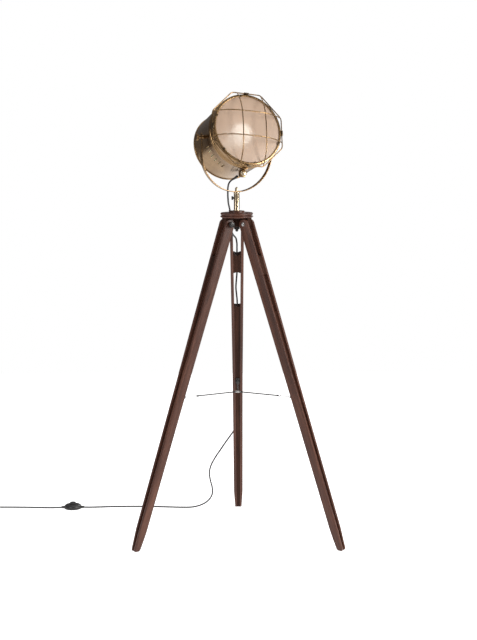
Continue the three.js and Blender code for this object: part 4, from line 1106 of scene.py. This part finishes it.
shellProfile = [(frontRadius - wall, -49), (frontRadius + 0.4, -49)]
shellProfile += beadArc(frontRadius + 0.3, bead - 0.4, -48.8, -43.6)
shellProfile += [(frontRadius - 0.25, -40), (middle + 1.1, -18), (middle, 0), (rearRadius + 2.2, 48)]
shellProfile += [(rearRadius + 0.7, 80), (rearRadius, 93.5)]
shellProfile += beadArc(rearRadius + 0.1, bead - 0.2, 95, 100.8)
shellProfile += [(rearRadius - wall, 101), (rearRadius - wall, 94), (middle - wall, 0)]
shellProfile += [(frontRadius - wall, -43)]
drumShape = lathe(shellProfile, 180, "y", True)
ventSeed = loft([[(x, y, r) for x, y in roundedRectangle(
    -drum["ventWidth"] / 2, drum["ventWidth"] / 2, -drum["ventAt"] - drum["ventLength"] / 2,
    -drum["ventAt"] + drum["ventLength"] / 2, drum["ventWidth"] / 2, 6)] for r in (middle - 12, middle + 12)])
firstVent = 90 + drum["ventCentre"] - (drum["vents"] - 1) / 2 * drum["ventStep"]
ventsRight = ringOf(ventSeed, drum["vents"], firstVent, drum["ventStep"], "antiqueBrass")
ventsLeft = ringOf(ventSeed, drum["vents"], -firstVent, -drum["ventStep"], "antiqueBrass")
drumShape = booleanOf([drumShape, combined(ventsRight, ventsLeft)], "drum", "DIFFERENCE")
piece("drumShell", drumShape, drumPlace, "antiqueBrass", "head", "drum", sharp=50)

rearFit = rearRadius - wall - 0.5
rearShape = lathe([
    (0, 98), (rearFit, 98), (rearFit, 99.6), (rearFit - 0.6, 100.4), (rearFit - 4, 101.2),
    (rearFit - 7, 101.3), (rearFit - 9, 100.7), (rearFit - 11, 101.4), (rearFit - 14, 102.4), (80, 103),
    (60, 103.3), (40, 103.9), (38, 104), (36, 103.4), (33, 103.3), (20, 103.9), (0, 104.5),
], 144, "y")
backwards = Matrix.Rotation(-math.pi / 2, 4, "X")
rearScrew = moved(smallScrew(2.6, 1.3), Matrix.Translation((0, 101.2, rearFit - 5.6)) @ backwards)
rearScrews = ringOf(rearScrew, drum["capScrews"], 15, 60, "antiqueBrass")
piece("rearCap", combined(rearShape, rearScrews), drumPlace, "antiqueBrass", "head",
      "rear_cap")
piece("lampBracket", lathe(filleted([
    (0, 80.3), (11, 80.3), (11, 92), (28, 93), (28, 97.7), (0, 97.7),
], 0.6, 2), 48, "y"), drumPlace, "steel", "head", "lamp_bracket")
piece("lampHolder", lathe(filleted([
    (13.6, 22), (18, 22), (19, 23.5), (19, 52), (16, 56), (16, 78), (14, 80), (0, 80), (0, 49), (13.6, 49),
], 0.8, 3), 64, "y"), drumPlace, "ceramic", "head", "lamp_holder")
bulb = {"radius": 34, "station": -40}
globe = [(bulb["radius"] * math.cos(a), bulb["station"] + bulb["radius"] * math.sin(a))
         for a in (math.radians(degrees) for degrees in range(-90, 58, 6))]
globe[0] = (0, globe[0][1])
piece("bulbGlobe", lathe(globe + [(15, -4), (13.6, 6), (13.2, 18), (13.2, 45), (5, 48), (0, 48)], 72, "y"),
      drumPlace, "bulbGlass", "head", "bulb")

# gland and its tapered strain relief, which follows the first stretch of the cord
gland = {"behind": -6, "flats": 8.2, "towards": (-0.56, 0.3, -0.77), "reliefPoints": 13}
glandBase = -middle - 0.0622 * 14 - 0.3  # clear of the drum's sloping side
glandDirection = Vector(gland["towards"]).normalized()
glandTurn = Vector((0, 0, 1)).rotation_difference(glandDirection).to_matrix().to_4x4()
glandBoss = lathe(filleted([
    (0, glandBase - 6), (8, glandBase - 6), (8, glandBase), (0, glandBase),
], 0.8, 3), 60, shaped=hexagonal(-999, 999, gland["flats"]))
glandNozzle = moved(lathe(filleted([
    (0, 0), (4.6, 0), (4.6, 7), (4.1, 7.4), (4.1, 8.4), (4.6, 8.8), (4.6, 12), (0, 12),
], 0.4, 2), 40), Matrix.Translation((0, 0, glandBase - 3)) @ glandTurn)
piece("cableGland", shifted(combined(glandBoss, glandNozzle), (0, gland["behind"], 0)), drumPlace,
      "blackMetal", "head", "cable_gland")
reliefPath = headRoute[:gland["reliefPoints"]]
reliefSizes = [1.62 - 0.5 * k / 12 + (0.07 if k % 2 else -0.02) for k in range(gland["reliefPoints"])]
piece("strainRelief", sweep(reliefPath, circle(cordRadius, 20), sizes=reliefSizes), stemPlace, "blackPlastic",
      "head")
print("drum made")

# door: a stepped rim with a frosted pane, hinged at the top
door = {"radius": 120.8, "opening": 112.6, "screws": 8}
rim = [  # from the pane's opening round the front, over the steps and back inside
    (door["opening"], -88.4), (door["opening"], -90.2), (door["opening"] + 0.8, -90.9), (117.4, -91),
    (119.8, -90.4), (120.7, -88.6), (120.6, -86), (119.6, -84.6), (119.5, -83.4), (120.5, -82.2),
    (120.8, -79.6), (120.4, -77.2), (119.4, -76.2), (119.3, -66.4), (120, -65.6), (120.5, -63.8),
    (120, -62), (119.3, -61.2), (119.3, -56.6), (120.4, -55.6), (121.2, -54.2), (121.3, -51),
    (120.9, -49.6), (118.6, -49.6), (118.6, -88.4),
]
rimShape = lathe(filleted(rim, 0.35, 2, True), 180, "y", True)
hinge = {"station": -49.3, "radius": 125.7, "barrel": 3.2, "width": 26, "gap": 0.3}
knuckle = hinge["width"] / 3
leafWidth = knuckle - 2 * hinge["gap"]


def hingeBarrel(low, high):
    profile = filleted([(0, low), (hinge["barrel"], low), (hinge["barrel"], high), (0, high)], 0.5, 3)
    return shifted(lathe(profile, 40, "x"), (0, hinge["station"], hinge["radius"]))


doorLeaf = roundedBox((leafWidth, 8.6, 2.4), (0, hinge["station"] - 4.6, 124.1), 0.5)
doorFoot = roundedBox((leafWidth + 6, 7, 3.4), (0, hinge["station"] - 6, 121.6), 0.8)
doorBarrel = hingeBarrel(-leafWidth / 2, leafWidth / 2)
clasp = {
    "drop": 135, "plate": 4, "width": 18, "head": 10, "headBack": -38.3, "knurls": 30,
    "bracketTop": -118.7, "bracketBottom": -142.5,
}
claspStrip = roundedBox((clasp["width"], 23.6, 2.6), (0, -45.8, -123.5), 0.6)
claspFoot = roundedBox((clasp["width"], 7.4, 5.6), (0, -53.9, -121), 0.7)
plateDepth = clasp["drop"] + clasp["head"] - 121.3
plateAt = (0, -36, -122.5 - plateDepth / 2)
claspPlate = roundedBox((clasp["width"], clasp["plate"], plateDepth), plateAt, 1.2, 4)
rimScrew = moved(smallScrew(2.4, 1.1), Matrix.Translation((0, -71.2, 119.25)))
piece("doorRim", combined(
    rimShape, ringOf(rimScrew, door["screws"], 22.5, 45, "antiqueBrass"),
), doorPlace, "antiqueBrass", "door", "door_bezel", sharp=30)
piece("doorHingeLeaf", combined(doorLeaf, doorFoot, doorBarrel), doorPlace, "antiqueBrass", "door")
piece("claspPlate", combined(claspStrip, claspFoot, claspPlate), doorPlace, "antiqueBrass", "door")
piece("doorGlass", lathe(filleted([
    (0, -88.1), (60, -88.1), (118, -88.1), (118, -84.5), (60, -84.5), (0, -84.5),
], 0.5, 2), 128, "y"), drumPlace, "frostedGlass", "door", "door_glass")

# wire cage: an octagon in clips, with four bowed wires across it
cage = {
    "radius": 133.4, "station": -88.7, "wire": 1.9, "bulge": 36, "clipWidth": 17, "cornerRound": 9,
    "shiftLeft": 20, "shiftLow": 19, "clips": 4,
}


def cageCorner(k):
    a = math.radians(22.5 + 45 * k)
    return Vector((cage["radius"] * math.sin(a), cage["station"], cage["radius"] * math.cos(a)))


octagon = []
for k in range(8):
    before, here, after = cageCorner(k - 1), cageCorner(k), cageCorner(k + 1)
    start = here + (before - here).normalized() * cage["cornerRound"]
    end = here + (after - here).normalized() * cage["cornerRound"]
    octagon += [start * (1 - t) ** 2 + here * 2 * t * (1 - t) + end * t * t
                for t in (0, 0.2, 0.4, 0.6, 0.8, 1)]


def edgePoint(first, towards, shift):  # a point of the octagon, some way from one corner to the next
    a, b = cageCorner(first), cageCorner(towards)
    return a + (b - a).normalized() * shift


def cageWire(a, b):
    inward = (b - a).normalized() * 1.6
    route = []
    for k in range(49):
        t = k / 48
        point = (a + inward).lerp(b - inward, t)
        point.y -= cage["bulge"] * (1 - abs(2 * t - 1) ** 3)
        route.append(point)
    return sweep(route, circle(cage["wire"] * 0.92, 14))


def cageClip():
    flat = cage["radius"] * math.cos(math.pi / 8)
    low, high = door["radius"] + 0.2, flat + cage["wire"] + 1.4
    width, station = cage["clipWidth"], cage["station"]
    saddle = roundedBox((width, 9, 1.5), (0, station, low + 0.75), 0.4)
    crown = roundedBox((width, 6.4, high - flat + 1.2), (0, station, (high + flat - 1.2) / 2), 1.1, 4)
    cheeks = [roundedBox((width, 1.3, high - low - 1), (0, station + side * 3.4, (high + low) / 2 - 0.4), 0.4)
              for side in (-1, 1)]
    screw = moved(smallScrew(2.1, 0.9), Matrix.Translation((0, station, high - 0.1)))
    return combined(saddle, crown, *cheeks, screw)


cageShape = combined(
    sweep(octagon, circle(cage["wire"], 16), True),
    cageWire(edgePoint(7, 0, cage["shiftLeft"]), edgePoint(4, 3, cage["shiftLeft"])),
    cageWire(cageCorner(0), cageCorner(3)),
    cageWire(cageCorner(6), cageCorner(1)),
    cageWire(edgePoint(5, 6, cage["shiftLow"]), edgePoint(2, 1, cage["shiftLow"])),
)
piece("cageWires", cageShape, doorPlace, "antiqueBrass", "door", "cage", sharp=60)
piece("cageClips", ringOf(cageClip(), cage["clips"], 0, 360 / cage["clips"], "darkBrass"), doorPlace,
      "darkBrass", "door")

# small tabs on the rim's face hold the pane in
tab = {"count": 6, "first": -11, "width": 9, "length": 7, "thick": 1.1}
tabSeed = combined(
    roundedBox((tab["width"], tab["thick"], tab["length"]), (0, -91.2, 114.6), 0.3),
    moved(smallScrew(1.6, 0.7),
          Matrix.Translation((0, -91.7, 115.6)) @ Matrix.Rotation(math.pi / 2, 4, "X")),
)
piece("glassTabs", ringOf(tabSeed, tab["count"], tab["first"], 360 / tab["count"], "darkBrass"), doorPlace,
      "darkBrass", "door")

# hinge half on the drum, and the clasp below it
drumLeaf = roundedBox((hinge["width"], 10, 2.4), (0, hinge["station"] + 7.6, 122.4), 0.6)
knuckles = []
for side in (-1, 1):
    low, high = (knuckle / 2, hinge["width"] / 2) if side > 0 else (-hinge["width"] / 2, -knuckle / 2)
    knuckles.append(hingeBarrel(low, high))
    at = ((low + high) / 2, hinge["station"] + 3.4, hinge["radius"] - 1.6)
    knuckles.append(roundedBox((high - low, 7, 2.4), at, 0.5))
hingeScrews = [moved(smallScrew(1.9, 0.8), Matrix.Translation((x, hinge["station"] + 9.4, 123.5)))
               for x in (-8, 8)]
piece("drumHinge", combined(drumLeaf, *knuckles, *hingeScrews), doorPlace, "antiqueBrass", "head",
      "door_hinge")
bracketTop, bracketBottom = clasp["bracketTop"], clasp["bracketBottom"]
bracketAt = (0, -27.2, (bracketTop + bracketBottom) / 2)
piece("claspBracket", roundedBox((16, 13, bracketTop - bracketBottom), bracketAt, 1.2, 4), doorPlace,
      "antiqueBrass", "head", "clasp_bracket")
headBack = clasp["headBack"]
piece("claspScrew", shifted(combined(lathe(filleted([
    (0, headBack - 12.6), (6.6, headBack - 12.2), (7.2, headBack - 11.6), (9.4, headBack - 11),
    (10, headBack - 10), (10, headBack - 4), (8, headBack - 3), (7, headBack), (2.5, headBack),
    (2.5, -23.7), (0, -23.7),
], 0.5, 3), 120, "y", shaped=knurled(clasp["knurls"], 0.55, headBack - 11.2, headBack - 3.4)),
    roundedBox((11, 0.5, 1.6), (0, headBack - 12.6, 0), 0.2, 1)), (0, 0, -clasp["drop"])), doorPlace,
    "paleBrass", "clasp_screw", "clasp_screw")
print("door, cage and clasp made")

# studio: a pale floor under an even white sky, with soft boxes and a darker side for the metal
studio = {
    "floor": 3.2, "floorGlow": 0.9, "floorTone": 0.82, "floorGrain": 2.5,
    "key": 78, "fill": 30, "top": 16, "rim": 24, "sky": 1.0,
}
floorMesh = bpy.data.meshes.new("floor")
half = studio["floor"]
floorMesh.from_pydata([
    (-half, -half, 0), (half, -half, 0), (half, half, 0), (-half, half, 0),
], [], [(0, 1, 2, 3)])
floorMaterial, floorTree, floorShader = startMaterial("floorPaper")
floorSpace = addNode(floorTree, "ShaderNodeTexCoord").outputs["Object"]
floorNoise = noiseOf(floorTree, floorSpace, studio["floorGrain"], 3)
dim = studio["floorTone"]
paper = colourRamp(floorTree, floorNoise, [(0.3, (dim,) * 3), (0.7, (dim + 0.02,) * 3)])
floorTree.links.new(paper, floorShader.inputs["Base Color"])
floorShader.inputs["Roughness"].default_value = 0.9
floorShader.inputs["Specular IOR Level"].default_value = 0.1
floorShader.inputs["Emission Color"].default_value = (1, 1, 1, 1)
floorShader.inputs["Emission Strength"].default_value = studio["floorGlow"]
floorMesh.materials.append(floorMaterial)
floor = bpy.data.objects.new("floor", floorMesh)
bpy.context.scene.collection.objects.link(floor)

world = bpy.data.worlds.new("studio")
bpy.context.scene.world = world
world.use_nodes = True
sky = world.node_tree
sky.nodes.clear()
direction = addNode(sky, "ShaderNodeTexCoord").outputs["Generated"]
parts = addNode(sky, "ShaderNodeSeparateXYZ", {0: direction})
upwards = addNode(sky, "ShaderNodeMapRange", {
    "Value": parts.outputs["Z"], "From Min": -1.0, "From Max": 1.0,
}).outputs["Result"]
room = colourRamp(sky, upwards, [
    (0.4, (0.24, 0.215, 0.19)), (0.56, (0.15, 0.14, 0.135)),
    (0.72, (0.26, 0.26, 0.27)), (1, (0.45, 0.45, 0.46)),
])
lit = addNode(sky, "ShaderNodeBackground", {"Color": room, "Strength": studio["sky"]})
seen = addNode(sky, "ShaderNodeBackground", {"Color": (1, 1, 1, 1), "Strength": 1.0})
ray = addNode(sky, "ShaderNodeLightPath")
either = addNode(sky, "ShaderNodeMixShader", {
    0: ray.outputs["Is Camera Ray"], 1: lit.outputs[0], 2: seen.outputs[0],
})
addNode(sky, "ShaderNodeOutputWorld", {"Surface": either.outputs[0]})


def softBox(name, at, target, size, power, colour=(1, 1, 1)):
    data = bpy.data.lights.new(name, "AREA")
    data.shape = "RECTANGLE"
    data.size, data.size_y = size
    data.energy = power
    data.color = colour
    light = bpy.data.objects.new(name, data)
    light.location = at
    light.rotation_euler = (Vector(target) - Vector(at)).to_track_quat("-Z", "Y").to_euler()
    bpy.context.scene.collection.objects.link(light)


softBox("keyLight", (2.4, -1.35, 1.75), (0, 0, 1.1), (0.8, 1.5), studio["key"], (1, 0.985, 0.96))
softBox("fillLight", (-2.2, -2.4, 1.9), (0, 0, 1.0), (0.7, 1.8), studio["fill"], (0.96, 0.97, 1))
softBox("topLight", (0, 0.2, 3.4), (0, 0, 0), (2.0, 2.0), studio["top"])
softBox("rimLight", (1.2, 2.6, 2.2), (0, 0, 1.2), (1.2, 2), studio["rim"])
print("studio lit")
